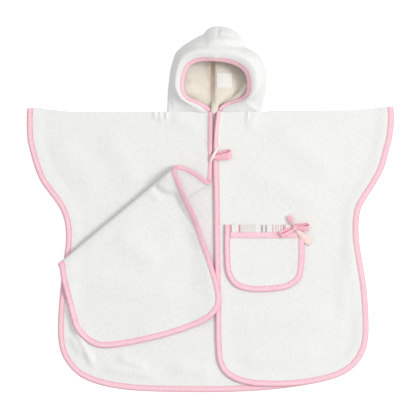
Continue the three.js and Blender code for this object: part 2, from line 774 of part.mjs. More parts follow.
const tapeFrom = { x: POCKET_OUTLINE[0].x + CLEAR, y: POCKET_OUTLINE[0].y - 0.6 };
const tapeTo = { x: POCKET_OUTLINE.at(-1).x - CLEAR, y: tapeFrom.y - STRIPES_WIDTH };
add("pocket_stripes", laid(tapeFrom, tapeTo, { down: 2, across: 8 }, [pocketCloth], PRINTED_TAPE), "stripes");
const stripFrom = { x: tapeFrom.x, y: tapeTo.y - SEAM };
const stripTo = { x: tapeTo.x, y: stripFrom.y - STRIP_WIDTH };
add("pocket_strip", laid(stripFrom, stripTo, { down: 2, across: 8 }, [pocketCloth], TAPE), "binding");

// A flat ribbon along a path, as wide as its across vector
function ribbon(path, width, across) {
  const curve = new THREE.CatmullRomCurve3(path, false, "centripetal");
  const steps = 4 * (path.length - 1);
  const wide = across.clone().normalize().multiplyScalar(width / 2);
  return sweep(
    spread(0, 1, steps).map((share) => {
      const middle = curve.getPointAt(Math.min(share, 1));
      const thick = curve.getTangentAt(Math.min(share, 1)).cross(wide).normalize().multiplyScalar(TAPE / 2);
      return [[1, -1], [1, 1], [-1, 1], [-1, -1]].map(([a, b]) =>
        middle.clone().addScaledVector(wide, a).addScaledVector(thick, b),
      );
    }),
  );
}

// A loop goes out from the knot low and comes back high, and a tail goes out once
function arm({ x, y, z, width, loop }, knot) {
  const out = new THREE.Vector3(x - knot.x, y - knot.y, 0);
  const across = new THREE.Vector3(-out.y, out.x, 0);
  const end = new THREE.Vector3(x, y, z);
  const start = new THREE.Vector3(knot.x, knot.y, knot.z);
  if (!loop) return ribbon([start, mix(start, end, 0.6).setZ(Math.max(start.z, z) + TAIL_ARCH), end], width, across);
  const turn = out.clone().normalize().multiplyScalar(LOOP_HEIGHT / 2);
  const [low, high] = [0, LOOP_HEIGHT].map((rise) => end.clone().sub(turn).setZ(z + rise));
  const middle = end.clone().setZ(z + LOOP_HEIGHT / 2);
  return ribbon([start, low, middle, high, start.clone().setZ(knot.z + LOOP_HEIGHT * 0.8)], width, across);
}

function solidOf(geometry) {
  const plain = new THREE.BufferGeometry().setAttribute("position", geometry.toNonIndexed().getAttribute("position"));
  const merged = mergeVertices(plain, 1e-4);
  const triVerts = new Uint32Array(merged.index.array);
  return new wasm.Manifold(new wasm.Mesh({ numProp: 3, vertProperties: merged.attributes.position.array, triVerts }));
}

function tied({ knot, arms }) {
  const bead = new THREE.SphereGeometry(1, 12, 8).scale(knot.long / 2, knot.wide / 2, knot.thick / 2);
  bead.rotateZ(knot.turn).translate(knot.x, knot.y, knot.z + knot.thick / 2 - TAPE / 2);
  const pieces = [bead, ...arms.map((one) => arm(one, knot))].map(solidOf);
  const mesh = wasm.Manifold.union(pieces).getMesh();
  const geometry = new THREE.BufferGeometry();
  geometry.setAttribute("position", new THREE.BufferAttribute(mesh.vertProperties, mesh.numProp));
  geometry.setIndex(new THREE.BufferAttribute(mesh.triVerts, 1));
  geometry.computeVertexNormals();
  return geometry;
}
add("pocket_bow", tied(POCKET_BOW), "binding");
add("neck_tie", tied(NECK_TIE), "binding");

export default poncho;
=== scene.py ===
"""The looks of a toddler's hooded bath poncho in terry cloth, laid flat with its front up.

Sizes in the tables are millimetres in the frame of the CAD part: +X to the wearer's left, +Y from the hem
to the hood, +Z up, with the origin on the floor under the middle of the poncho.
"""

import math

import bmesh
import bpy
import numpy as np
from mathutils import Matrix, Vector, noise
from mathutils.bvhtree import BVHTree


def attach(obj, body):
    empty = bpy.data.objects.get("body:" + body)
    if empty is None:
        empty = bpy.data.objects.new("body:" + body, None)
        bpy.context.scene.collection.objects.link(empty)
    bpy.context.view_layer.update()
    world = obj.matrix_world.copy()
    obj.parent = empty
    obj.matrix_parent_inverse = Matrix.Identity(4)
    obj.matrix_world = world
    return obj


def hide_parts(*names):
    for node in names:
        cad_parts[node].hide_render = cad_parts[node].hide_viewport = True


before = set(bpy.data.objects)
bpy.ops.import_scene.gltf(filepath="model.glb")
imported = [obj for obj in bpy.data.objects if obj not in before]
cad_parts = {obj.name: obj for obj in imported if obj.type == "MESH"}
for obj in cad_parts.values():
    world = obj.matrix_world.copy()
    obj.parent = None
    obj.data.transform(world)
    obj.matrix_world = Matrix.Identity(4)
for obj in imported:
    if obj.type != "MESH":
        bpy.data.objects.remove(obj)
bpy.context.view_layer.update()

MM = 0.001

# Driving sizes
CLOTH = 2.4
HOOD_CLOTH = 2.2
TAPE = 0.9
SEAM = 0.3
BINDING_WIDTH = 10.0
BOUND = 4.0
RIM = 1.8
CLEAR = BINDING_WIDTH + 0.6
NECK_Y = 161.0
LOWER_RADIUS = 2.6
UPPER_RADIUS = 5.7
ROLL = {"fall": 1.0, "reach": 8}

# Heights of the middle of the cloth, and how far each lift of it reaches
BACK_Z = CLOTH / 2
FRONT_Z = CLOTH + SEAM + CLOTH / 2
EDGE_LIFT = (BOUND - CLOTH) / 2
OVER_BINDING = BOUND - CLOTH
OWN_EDGE = (11, 30)
EDGE_BELOW = (14, 34)
PAST_LOWER_FOLD = (3, 44)
BESIDE_LEFT_FRONT = (3, 45)

# The edges that curl up: how high, and from how far in
FLAP_CURL = (6.0, 17)
TUCK_CURL = (3.6, 15)
NECK_CURL_LEFT = (5.0, 12)
NECK_CURL_RIGHT = (4.4, 13)
# The curls beside the neck opening fade out below the tie
CURL_TOP = 150
CURL_FADE = (40, 66)

# The size of the cloth's cells
CELL = 2.6
BACK_CELL = 3.1
BINDING_STEP = 2.6
POCKET_CELL = 2.4
BAND_CELL = 2.0
LABEL_CELLS = 14

# How much narrower the bindings are where they are drawn in
DRAWN_IN = {"left neck": 0.34, "tuck": 0.28, "flap": 0.14, "hood neck": 0.24, "hood side": 0.13}

# Outlines in plan, to the outer edge of the binding
SHOULDER = [(-302, 166.6), (-287, 168.5), (-262, 165), (-229, 161.3), (-72, NECK_Y), (86, NECK_Y),
            (104, 163.3), (230, 163.7), (267, 166.8), (288, 169.4), (302, 169.1)]
LEFT_SIDE = [(240.2, -256.6), (254.3, -235), (260, -212), (260.5, -176), (257, -128), (250.6, -87),
             (245, -50), (244.7, -18), (248.5, 2.5), (259, 21), (274, 44.5), (286, 68), (294, 96),
             (300, 121), (302.6, 147), (302, 169.1)]
RIGHT_SIDE = [(-302, 166.6), (-302.5, 140), (-301, 113), (-296, 92), (-289.5, 70), (-281, 49),
              (-269, 31), (-254.5, 12), (-244.5, -6), (-239, -27), (-238, -50), (-240.5, -73), (-244, -101)]
BACK_OUTLINE = RIGHT_SIDE + [
    (-248.5, -143), (-251, -179), (-251, -210), (-246.5, -235), (-235.8, -255), (-216, -274.7),
    (-189, -287), (-162, -293.7), (-123, -298.6), (-67, -300.6), (8, -301.2), (57, -299.8),
    (102, -296.7), (143, -291.6), (187, -283.2), (218.8, -272.2)] + LEFT_SIDE
LEFT_FRONT_OUTLINE = [
    (10, NECK_Y), (7, 136), (5, 106), (4.2, 78), (5, 42), (6.4, -67), (7.9, -166), (9.4, -233),
    (12.5, -253.3), (21.6, -269.8), (39, -282), (65, -289.6), (98, -291.9), (141, -290.6),
    (187, -283.2), (218.8, -272.2)] + LEFT_SIDE
CHEST_EDGE = [(1.2, 24), (1.8, 42), (3.1, 73), (3.2, 106), (3.6, 136), (3.6, NECK_Y)]
TUCKED_SIDE = [(-239, -117), (-244, -101.5), (-249, -86), (-254, -70)]
TUCKED_EDGE = [(-84, 76), (-60, 73.4), (-43.6, 71), (-30.4, 65), (-17.2, 57), (1, 42.5), (16, 31)]
FLAP_OUTLINE = [
    (-251, -68), (-249, -86), (-245, -116), (-240.7, -136), (-235.5, -156), (-230.5, -176),
    (-224, -196), (-207.7, -215.3), (-192, -225), (-175.6, -228.3), (-149, -226), (-110, -218.6),
    (-70, -208.7), (-30.4, -195.5), (-4, -183), (9.2, -170.8), (16.3, -159.2), (18, -146),
    (14.2, -126.2), (5.9, -96.5), (-7.3, -57), (-25.4, -7.4), (-40.3, 22.3), (-52.6, 52), (-60, 72),
    (-68, 92)]
POCKET_OUTLINE = [(22.9, -24.8), (22.9, -75), (26.2, -106.4), (39.3, -126.2), (62, -134.6),
                  (101.6, -135), (130, -129.5), (149, -114), (154.3, -86.6), (154.3, -24.8)]

BACK_CORNERS = ((-226, -266), (230, -265))
LEFT_FRONT_CORNERS = ((19, -267), (230, -265))
FLAP_CORNERS = ((-212, -211), (10, -170))
POCKET_CORNERS = ((34, -122), (145, -121))
POCKET_EDGE = (11, 24)

# Soft ridges of the cloth: both ends, width and height
CHEST_FOLDS = [
    ((-92, 163), (-91, 149), 2.4, 2.7),
    ((-83, 163), (-82, 146), 2.2, 3.3),
    ((-73.5, 163), (-73, 148), 2.2, 3),
    ((-60, 152), (-20, 134), 12, 2),
    ((-170, 120), (-120, 40), 20, 2.2),
    ((-250, 110), (-190, 40), 22, 2.4),
]
LEFT_FOLDS = [
    ((62, 163), (61, 143), 2.2, 2.8),
    ((76, 163), (64, 132), 6, 1.8),
    ((110, 130), (200, 60), 22, 2.4),
    ((60, 60), (180, 10), 20, 1.8),
    ((40, -190), (200, -170), 22, 2.4),
    ((60, -250), (180, -235), 16, 2.1),
    ((228, -60), (222, -170), 14, 2.1),
]
FLAP_FOLDS = [
    ((-104, 36), (-84, 14), 7, 1.8),
    ((-150, -40), (-90, -90), 20, 3),
    ((-190, -120), (-60, -140), 22, 2.4),
    ((-120, -200), (-20, -150), 18, 2.4),
]
# The flap's corner by its free edge stands up as a soft pillow, past this line
PILLOW_LINE = [(-101, 52), (-94.7, 41), (-86.3, 31.8), (-72.9, 24.3), (-57.7, 21), (-51.8, 5.8),
               (-39.3, -14.5), (-29, -32)]
PILLOW = {"height": 5.5, "step": 10.0, "slope": 0.14, "top": 25, "low": (8, 34), "high": (48, 66)}
BACK_FOLDS = [
    ((-235, -160), (-219, -202), 5, 3.9),
    ((-222, -196), (-195, -254), 5.5, 4.8),
    ((-228, -212), (-214, -236), 6, 3),
    ((-150, -246), (-108, -258), 7, 3),
    ((-170, -262), (-90, -274), 8, 2.7),
    ((-60, -262), (0, -268), 12, 2.4),
    ((-40, -10), (-15, -60), 9, 2.4),
]
# How much of the back's folds the flap above them takes on
SHOWS_THROUGH = 0.8

# The hood, row by row from the neck to the crown. Each row: the place of its face edge and of its silhouette,
# and the height at the face edge, behind the binding, at the crest, past it and at the silhouette
FLOOR = HOOD_CLOTH / 2
LEFT_HOOD = [
    ((11.8, NECK_Y), (82, NECK_Y), (4, 4, 4, 4, 3.4)),
    ((15.8, 167.5), (83.6, 167), (8.2, 7.4, 6.8, 5.6, 4.2)),
    ((23.4, 173.2), (85.8, 175), (8.6, 11, 11, 8, 5)),
    ((36.6, 178), (88.4, 185), (10.4, 15, 16, 12, 7)),
    ((52, 183.4), (90.4, 198), (14.5, 21, 24, 18, 9)),
    ((59.6, 191.4), (91.6, 211), (20.5, 27.5, 31, 24, 11)),
    ((61.8, 203.8), (90.8, 226), (24, 31, 34, 27, 12)),
    ((60.3, 217.4), (86.5, 241), (27, 34.5, 38, 30, 13)),
    ((55.2, 228.2), (78, 254.5), (30, 38, 42, 32, 13)),
    ((46, 235.6), (66, 262.5), (32, 40.5, 44.5, 32, 12)),
    ((34, 240.6), (56, 267.5), (33.5, 42.5, 45.5, 31, 11)),
    ((24, 243.1), (52.5, 276), (34.5, 43.5, 45.5, 29, 10)),
    ((17, 244), (47, 287), (35, 44, 45, 28, 9)),
    ((12, 244.4), (35, 296.5), (35, 44, 45, 28, 8)),
]
CROWN = ((8.2, 244.6), (19, 301), (35.5, 44.5, 45, 28, 7))
RIGHT_HOOD = [
    ((1.8, NECK_Y), (-69.5, NECK_Y), (4, 4, 4, 4, 3.4)),
    ((-3.4, 167.6), (-69.7, 167), (9, 7.4, 6.8, 5.6, 4.2)),
    ((-13.2, 173.7), (-69.7, 175), (8.8, 11, 11, 8, 5)),
    ((-26.4, 179.3), (-69.4, 185), (10.4, 15, 16, 12, 7)),
    ((-38.2, 185.2), (-68.6, 197), (14.5, 21, 24, 18, 8)),
    ((-44, 194.4), (-67.2, 210), (20.5, 27.5, 31, 23, 11)),
    ((-44.9, 209), (-65.4, 224), (24, 31, 34.5, 26, 12)),
    ((-42, 224.4), (-61.5, 241), (27, 34.5, 38.5, 29, 13)),
    ((-34.9, 236.5), (-55.5, 257.5), (30, 38, 42, 31, 13)),
    ((-22.8, 243.4), (-43.6, 268.9), (32, 40.5, 44.5, 31, 12)),
    ((-9.4, 245.1), (-24, 281), (33.5, 42.5, 46, 30, 10)),
    ((-1, 245.1), (-9.5, 289), (34.5, 43.5, 46, 29, 9)),
    ((3, 245), (-5, 295), (35, 44, 45.6, 28, 8)),
    ((5.6, 244.8), (5, 300), (35.3, 44.3, 45.2, 28, 7)),
]
# The first step of a row, over its binding and square to the face edge, and where its other heights stand
# as shares of what is left
RING_STEP = 7.0
ROW_SHARES = (0, 0.36, 0.74, 1)
# The centre seam on the floor: where it lies and where it ends, and how far in from the silhouette the hood
# touches the floor
SEAM_X = 8.2
SEAM_TOP = 284.0
UNDER = 11.0
# Ridges and valleys over the hood, and inside it
HOOD_FOLDS = [
    ((-53, 261), (-9, 268.5), 5, -3.5),
    ((-14, 268.5), (58, 267.5), 5, -5.5),
    ((12, 298), (13, 282), 2.6, -2.0),
    ((16, 292), (36, 287), 4, 2.0),
    ((20, 280), (44, 276), 3.6, 2.4),
    ((58, 176), (76, 163), 4, 1.8),
    ((-66, 200), (-58, 168), 4, 1.2),
    ((-40, 176), (-15, 165), 6, 1.2),
]
INSIDE_FOLDS = [
    ((-34, 211), (-4, 204), 3.2, 2.6),
    ((-30, 196), (-10, 188), 6, 1.8),
    ((-4, 240), (2, 212), 4, 1.6),
]
# The crease inside the hood, from its side down to the neck, and the right half's bulge beside the seam
INSIDE_CREASE = [(62, 222), (58, 212), (48.8, 198.8), (34, 184), (20.8, 174.1), (10, 164)]
BULGE = {"height": 9.0, "from": 0.6, "to": 8.4, "centre": 18, "reach": 30}
# Past the crease the hood rises again to its side, up to a height
SIDE_RISE = {"height": 5.5, "from": 176, "slope": 0.34, "reach": 5, "fades": (203, 214), "ends": (60, 68)}
# It rises slowly to the other side too, from above the neck
RIGHT_RISE = {"height": 9.0, "reach": (6, 46), "above": (14, 34)}

LABEL = {"x": 23.0, "y": 212.6, "width": 25.0, "height": 23.6, "thickness": 0.6}
STRIPES_WIDTH = 12.0
STRIPES_THICKNESS = 0.6
STRIP_WIDTH = 9.2


def smooth_line(table, per_span=24):
    """Points of a smooth line through the table's points, evenly in each span."""
    points = np.array(table, float)
    points = np.vstack([2 * points[0] - points[1], points, 2 * points[-1] - points[-2]])
    parts = []
    for a, b, c, d in zip(points, points[1:], points[2:], points[3:]):
        spans = [max(np.linalg.norm(q - p), 1e-6) ** 0.5 for p, q in ((a, b), (b, c), (c, d))]
        knots = np.cumsum([0] + spans)
        t = np.linspace(knots[1], knots[2], per_span, endpoint=False)[:, None]

        def blend(p, q, start, end):
            return ((end - t) * p + (t - start) * q) / (end - start)

        ab = blend(a, b, knots[0], knots[1])
        bc = blend(b, c, knots[1], knots[2])
        cd = blend(c, d, knots[2], knots[3])
        abc = blend(ab, bc, knots[0], knots[2])
        bcd = blend(bc, cd, knots[1], knots[3])
        parts.append(blend(abc, bcd, knots[1], knots[2]))
    return np.vstack(parts + [points[-2][None]])


def near(distance, reach):
    """1 up to the first distance of a reach, falling smoothly to 0 at the second."""
    share = np.clip((distance - reach[0]) / (reach[1] - reach[0]), 0, 1)
    return 1 - share * share * (3 - 2 * share)


def lengths_along(points):
    """How far along their line each of some points is."""
    return np.concatenate([[0], np.cumsum(np.linalg.norm(np.diff(points, axis=0), axis=1))])


class Outline:
    """A smooth line in plan with its cloth on its left, or on its right where side is -1."""

    def __init__(self, table, side=1):
        self.points = smooth_line(table)
        self.lengths = lengths_along(self.points)
        self.length = self.lengths[-1]
        self.side = side
        tangents = np.gradient(self.points, self.lengths, axis=0)
        self.tangents = tangents / np.linalg.norm(tangents, axis=1)[:, None]
        self.trace = self._at_length(np.linspace(0, self.length, max(int(self.length / 4), 12)), self.points)

    def _at_length(self, lengths, values):
        return np.column_stack([np.interp(lengths, self.lengths, column) for column in values.T])

    def at(self, shares, inset=0.0):
        """The points at shares of the length, moved in by a distance."""
        lengths = np.atleast_1d(shares) * self.length
        along = self._at_length(lengths, self.tangents)
        inward = np.column_stack([-along[:, 1], along[:, 0]]) * self.side
        return self._at_length(lengths, self.points) + inward * inset

    def share_near(self, place):
        gaps = np.linalg.norm(self.points - np.array(place), axis=1)
        return self.lengths[np.argmin(gaps)] / self.length

    def share_at_bend(self, fold, inset, low=0.0, high=1.0):
        """The share at which the outline, moved in, crosses the line where a layer starts to bend."""
        shares = np.linspace(low, high, 4000)
        heights = fold.past(self.at(shares, inset)) + fold.reach
        crossing = np.flatnonzero(np.sign(heights[:-1]) != np.sign(heights[1:]))[0]
        part = heights[crossing] / (heights[crossing] - heights[crossing + 1])
        return shares[crossing] + part * (shares[crossing + 1] - shares[crossing])

    def distance(self, places):
        a, b = self.trace[:-1], self.trace[1:]
        run = b - a
        square = (run * run).sum(1)
        least = np.full(len(places), 1e9)
        for start in range(0, len(places), 4000):
            part = places[start:start + 4000, None, :2] - a[None]
            share = np.clip((part * run).sum(2) / square, 0, 1)
            gaps = np.linalg.norm(part - share[..., None] * run, axis=2)
            least[start:start + 4000] = gaps.min(1)
        return least


class Fold:
    """A fold of the tuck: a line in plan that the cloth reaches from inside and turns back from."""

    def __init__(self, left, right, radius, outward):
        self.left = np.array(left, float)
        across = np.array(right, float) - self.left
        across /= np.linalg.norm(across)
        self.outward = np.array([across[1], -across[0]]) * outward
        self.radius = radius
        self.reach = radius + CLOTH / 2

    def past(self, places):
        return (places[:, :2] - self.left) @ self.outward


LOWER_FOLD = Fold((-244, -101.5), (0, 43), LOWER_RADIUS, 1)
UPPER_FOLD = Fold((-249, -88), (-59, 70), UPPER_RADIUS, -1)


def ridges(places, table):
    """The height that a table of soft ridges adds at each place."""
    total = np.zeros(len(places))
    for start, end, width, height in table:
        start, end = np.array(start, float), np.array(end, float)
        run = end - start
        length = np.linalg.norm(run)
        offset = places[:, :2] - start
        share = offset @ run / length ** 2
        side = np.abs(offset @ np.array([-run[1], run[0]])) / length
        taper = np.clip(np.minimum(share, 1 - share) * 3 + 0.5, 0, 1)
        total += height * np.exp(-((side / width) ** 2)) * taper * taper * (3 - 2 * taper)
    return total


def swell(places):
    """The slow rise and fall that every layer shares, from nothing up to about a millimetre."""
    values = [noise.noise(Vector((x / 70, y / 70, 3.1))) for x, y in places[:, :2]]
    return 0.55 + 0.55 * np.clip(np.array(values) * 1.6, -1, 1)


def lying(places, height):
    """Places in plan with a height each."""
    return np.column_stack([places[:, :2], height])


back_outline = Outline(BACK_OUTLINE)
left_outline = Outline(LEFT_FRONT_OUTLINE)
right_side = Outline(RIGHT_SIDE)
chest_edge = Outline(CHEST_EDGE)
tucked_side = Outline(TUCKED_SIDE, -1)
tucked_edge = Outline(TUCKED_EDGE, -1)
flap_outline = Outline(FLAP_OUTLINE)
flap_free_edge = Outline(FLAP_OUTLINE[-9:])
neck_of_right_front = Outline(CHEST_EDGE[2:])
neck_of_left_front = Outline(LEFT_FRONT_OUTLINE[:4])
pocket_outline = Outline(POCKET_OUTLINE)
pillow_line = Outline(PILLOW_LINE)


def ground(places):
    """The shared swell of all layers, which dies away at the back's edge."""
    inside = 1 - near(back_outline.distance(places), (8, 45))
    return swell(places) * inside


def back_surface(places):
    own = near(back_outline.distance(places), OWN_EDGE)
    folds = ridges(places, BACK_FOLDS) * (1 - near(back_outline.distance(places), (0, 14)))
    return lying(places, BACK_Z + EDGE_LIFT * own + ground(places) + folds)


def front_height(places, own_edges):
    own = np.max([near(edge.distance(places), OWN_EDGE) for edge in own_edges], axis=0)
    below = near(back_outline.distance(places), EDGE_BELOW)
    return FRONT_Z + EDGE_LIFT * own + OVER_BINDING * below + ground(places)


def curl(places, edge, size):
    """How far the cloth turns up towards an edge."""
    height, reach = size
    return height * np.clip(1 - edge.distance(places) / reach, 0, 1) ** 2


def beside_neck(places):
    """1 beside the neck opening, and 0 well below the tie."""
    return near(CURL_TOP - places[:, 1], CURL_FADE)


def left_surface(places):
    turned = curl(places, neck_of_left_front, NECK_CURL_LEFT) * beside_neck(places)
    return lying(places, front_height(places, [left_outline]) + ridges(places, LEFT_FOLDS) + turned)


def chest_surface(places):
    folds = ridges(places, CHEST_FOLDS) * near(-UPPER_FOLD.past(places), (-30, 0))
    turned = curl(places, neck_of_right_front, NECK_CURL_RIGHT) * beside_neck(places)
    return lying(places, front_height(places, [right_side, chest_edge]) + folds + turned)


def tucked_surface(places):
    height = front_height(places, [right_side, chest_edge]) + 2 * LOWER_RADIUS
    past_fold = near(UPPER_FOLD.past(places) + 26, (0, 20))
    return lying(places, height + curl(places, tucked_edge, TUCK_CURL) * past_fold)


def pillow(places):
    """The raised corner's height, up a short step from its line."""
    line = np.array(PILLOW_LINE)[::-1]
    past = places[:, 0] > np.interp(places[:, 1], line[:, 1], line[:, 0])
    distance = pillow_line.distance(places)
    rise = PILLOW["height"] * (1 - near(distance, (0, PILLOW["step"])))
    rise += PILLOW["slope"] * np.minimum(distance, PILLOW["top"])
    ends = near(-places[:, 1], PILLOW["low"]) * near(places[:, 1], PILLOW["high"])
    return past * rise * ends


def roll_off(places):
    """How far the flap falls away towards its fold."""
    return ROLL["fall"] * np.clip(1 + (UPPER_FOLD.past(places) + UPPER_FOLD.reach) / ROLL["reach"], 0, 1) ** 2


def flap_surface(places):
    tuck = 2 * (LOWER_RADIUS + UPPER_RADIUS) * near(LOWER_FOLD.past(places), PAST_LOWER_FOLD)
    beside = near(LEFT_FRONT_OUTLINE[5][0] - places[:, 0], BESIDE_LEFT_FRONT)
    corner = (BOUND + SEAM) * beside * (places[:, 1] < 0)
    turned = curl(places, flap_free_edge, FLAP_CURL) * near(-30 - places[:, 1], (0, 70))
    height = front_height(places, [flap_outline]) + np.maximum(tuck, corner) + turned - roll_off(places)
    folds = ridges(places, FLAP_FOLDS) + SHOWS_THROUGH * ridges(places, BACK_FOLDS)
    return lying(places, height + folds + pillow(places))


def shoulder_line(xs):
    table = np.array(SHOULDER)
    return np.column_stack([xs, np.interp(xs, table[:, 0], table[:, 1])])


def patch(top, bottom, left, right):
    """A grid of points inside four boundary rows."""
    u = np.linspace(0, 1, len(top))[None, :, None]
    v = np.linspace(0, 1, len(left))[:, None, None]
    ruled = (1 - v) * top[None] + v * bottom[None] + (1 - u) * left[:, None] + u * right[:, None]
    corners = (1 - v) * ((1 - u) * top[0] + u * top[-1]) + v * ((1 - u) * bottom[0] + u * bottom[-1])
    return ruled - corners


def lift_grid(grid, surface):
    rows, columns = grid.shape[:2]
    return surface(grid.reshape(-1, grid.shape[2])).reshape(rows, columns, 3)


def flat_panel(outline, corners, top_line, surface, cell=CELL):
    """A panel's grid and the cut edge down one side, along the hem and up the other."""
    first, second = (outline.share_near(place) for place in corners)
    down = max(int(outline.length * first / cell), 4)
    across = max(int(outline.length * (second - first) / cell), 4)
    shares = np.concatenate([np.linspace(0, first, down + 1), np.linspace(first, second, across + 1)[1:],
                             np.linspace(second, 1, down + 1)[1:]])
    edges = []
    for inset in (RIM, CLEAR):
        edge = outline.at(shares, inset)
        edge[[0, -1]] = top_line(edge[[0, -1], 0])
        edges.append(edge)
    rim, inner = edges
    top = top_line(np.linspace(inner[0, 0], inner[-1, 0], across + 1))
    grid = patch(top, inner[down:down + across + 1], inner[:down + 1], inner[down + across:][::-1])
    return lift_grid(grid, surface), surface(rim)


def bound_loop(grid):
    """A grid's first column, last row and last column, along which its binding runs."""
    return np.vstack([grid[:, 0], grid[-1, 1:], grid[-2::-1, -1]])


def grid_faces(rows, columns):
    numbers = np.arange(rows * columns).reshape(rows, columns)
    corners = [numbers[:-1, :-1], numbers[1:, :-1], numbers[1:, 1:], numbers[:-1, 1:]]
    return np.stack(corners, axis=-1).reshape(-1, 4), numbers


def panel_faces(grid, rim):
    """Vertices and faces of a grid with the strip of cloth inside its binding."""
    faces, numbers = grid_faces(*grid.shape[:2])
    loop = np.concatenate([numbers[:, 0], numbers[-1, 1:], numbers[-2::-1, -1]])
    cut = numbers.size + np.arange(len(rim))
    strip = np.stack([loop[:-1], cut[:-1], cut[1:], loop[1:]], axis=-1)
    return np.vstack([grid.reshape(-1, 3), rim]), np.vstack([faces, strip])


SHARP_ANGLE = math.radians(62)


def make_piece(name, vertices, faces, thickness=None):
    """A mesh object from millimetre points, with a wall of even thickness where one is given."""
    mesh = bpy.data.meshes.new(name)
    mesh.from_pydata((np.asarray(vertices) * MM).tolist(), [], [list(map(int, face)) for face in faces])
    piece = bpy.data.objects.new(name, mesh)
    bpy.context.scene.collection.objects.link(piece)
    if thickness:
        give_wall(piece, thickness)
    smooth_faces(piece)
    return piece


def give_wall(piece, thickness):
    """Gives the cloth its thickness, half to each side of its faces."""
    wall = piece.modifiers.new("wall", "SOLIDIFY")
    wall.thickness = thickness * MM
    wall.offset = 0
    apply_modifiers(piece)


def smooth_faces(piece):
    piece.data.polygons.foreach_set("use_smooth", [True] * len(piece.data.polygons))
    piece.data.set_sharp_from_angle(angle=SHARP_ANGLE)


def apply_modifiers(piece):
    bpy.ops.object.select_all(action="DESELECT")
    piece.select_set(True)
    bpy.context.view_layer.objects.active = piece
    for modifier in list(piece.modifiers):
        bpy.ops.object.modifier_apply(modifier=modifier.name)


def unit(vectors):
    return vectors / np.maximum(np.linalg.norm(vectors, axis=-1, keepdims=True), 1e-9)


# The binding's folded section: how far in from its outer edge, and how far from the cloth's middle
BINDING_SIDE = [(9.8, 1.5), (9.3, 1.72), (8.5, 1.45), (7.6, 1.75),
                (5.4, 2.08), (3.4, 2.2), (1.7, 1.9), (0.5, 1.1)]
BINDING_SECTION = np.array(
    [(reach, -out) for reach, out in BINDING_SIDE] + [(0, 0)] + BINDING_SIDE[::-1]
    + [(9.9, 1.12), (5, 1.12), (0.95, 1.05), (0.95, -1.05), (5, -1.12), (9.9, -1.12)])


def edge_frame(rim, inner):
    """For each point of a cut edge: the slanted inward step of one millimetre, and the cloth's normal."""
    along = np.gradient(rim, axis=0)
    step = inner - rim
    slant = np.linalg.norm(step, axis=1, keepdims=True) / (CLEAR - RIM)
    normal = unit(np.cross(along, step))
    return unit(step) * slant, normal


def sweep(sections):
    """Vertices and faces of a closed solid through sections, each a ring of as many points."""
    count, size = sections.shape[:2]
    numbers = np.arange(count * size).reshape(count, size)
    after = np.roll(numbers, -1, axis=1)
    faces = np.stack([numbers[:-1], numbers[1:], after[1:], after[:-1]], axis=-1).reshape(-1, 4).tolist()
    return sections.reshape(-1, 3), faces + [numbers[0].tolist(), numbers[-1][::-1].tolist()]


def resampled(rim, inner, step):
    """Both rows at even steps along the cut edge."""
    way = lengths_along(rim) + lengths_along(inner)
    ways = np.linspace(0, way[-1], int(way[-1] / 2 / step) + 1)
    return [np.column_stack([np.interp(ways, way, column) for column in row.T]) for row in (rim, inner)]


def front_neck_width(places):
    """The left front's binding is drawn in beside the neck opening."""
    beside = near(np.abs(places[:, 0] - 10), (14, 30)) * near(NECK_Y - places[:, 1], (44, 66))
    return 1 - DRAWN_IN["left neck"] * beside


def tucked_width(places):
    """The right front's binding is drawn in from the neck to the tuck, and a little down the flap's edge."""
    inner = near(-places[:, 0], (70, 90)) * near(-places[:, 1], (-34, -6))
    flap = near(-places[:, 0], (60, 100)) * near(-places[:, 1], (120, 160)) * (1 - inner)
    return 1 - DRAWN_IN["tuck"] * inner - DRAWN_IN["flap"] * flap


def ring_width(places):
    """The hood's binding is drawn in at the neck and on the hood's right side."""
    low = near(places[:, 1] - NECK_Y, (16, 34))
    side = near(places[:, 0], (-40, 60)) * (1 - low)
    return 1 - DRAWN_IN["hood neck"] * low - DRAWN_IN["hood side"] * side


# The binding's pucker: its length along the strip, and how much the strip sways and puffs with it
PUCKER = {"length": 5.5, "sway": 0.28, "puff": 0.05}


def make_binding(name, rim, inner, width=None):
    """A bias strip folded over a cut edge, a little puckered along its stitching."""
    rim, inner = resampled(rim, inner, BINDING_STEP)
    inward, normal = edge_frame(rim, inner)
    edge = rim - inward * RIM
    if width:
        inward = inward * width(edge)[:, None]
    way = np.arange(len(edge)) * BINDING_STEP
    pucker = np.array([noise.noise(Vector((w / PUCKER["length"], len(edge) * 0.37, 1.7))) for w in way])
    pucker = pucker[:, None]
    sections = []
    for reach, out in BINDING_SECTION:
        share = reach / BINDING_WIDTH
        outer = abs(out) > 1.2
        sway = pucker * PUCKER["sway"] * share * share
        puff = 1 + (PUCKER["puff"] * pucker * (1 - abs(share - 0.5)) if outer else 0)
        sections.append(edge + inward * (reach + sway) + normal * out * puff)
    vertices, faces = sweep(np.stack(sections, axis=1))
    piece = make_piece(name, vertices, faces)
    recalculate_normals(piece)
    # The share across the strip, which the pink material reads to paint shade towards both of its edges
    across = np.tile(BINDING_SECTION[:, 0] / BINDING_WIDTH, len(sections[0]))
    piece.data.attributes.new("across", "FLOAT", "POINT").data.foreach_set("value", across)
    return piece, (edge, inward, normal)


def recalculate_normals(piece):
    work = bmesh.new()
    work.from_mesh(piece.data)
    bmesh.ops.recalc_face_normals(work, faces=work.faces)
    work.to_mesh(piece.data)
    work.free()


# A stitch, how far in from the binding's edge its row lies, and where the row starts
STITCH = {"length": 2.3, "gap": 1.1, "thread": 0.24, "sides": 6, "reach": 8.5, "start": 2.0}
# Along a stitch: the place as a share of its length, how high it is and how thick, in threads
STITCH_PROFILE = [(-0.5, -0.35, 0.55), (-0.32, 0.0, 0.95), (0.0, 0.12, 1.0), (0.32, 0.0, 0.95),
                  (0.5, -0.35, 0.55)]


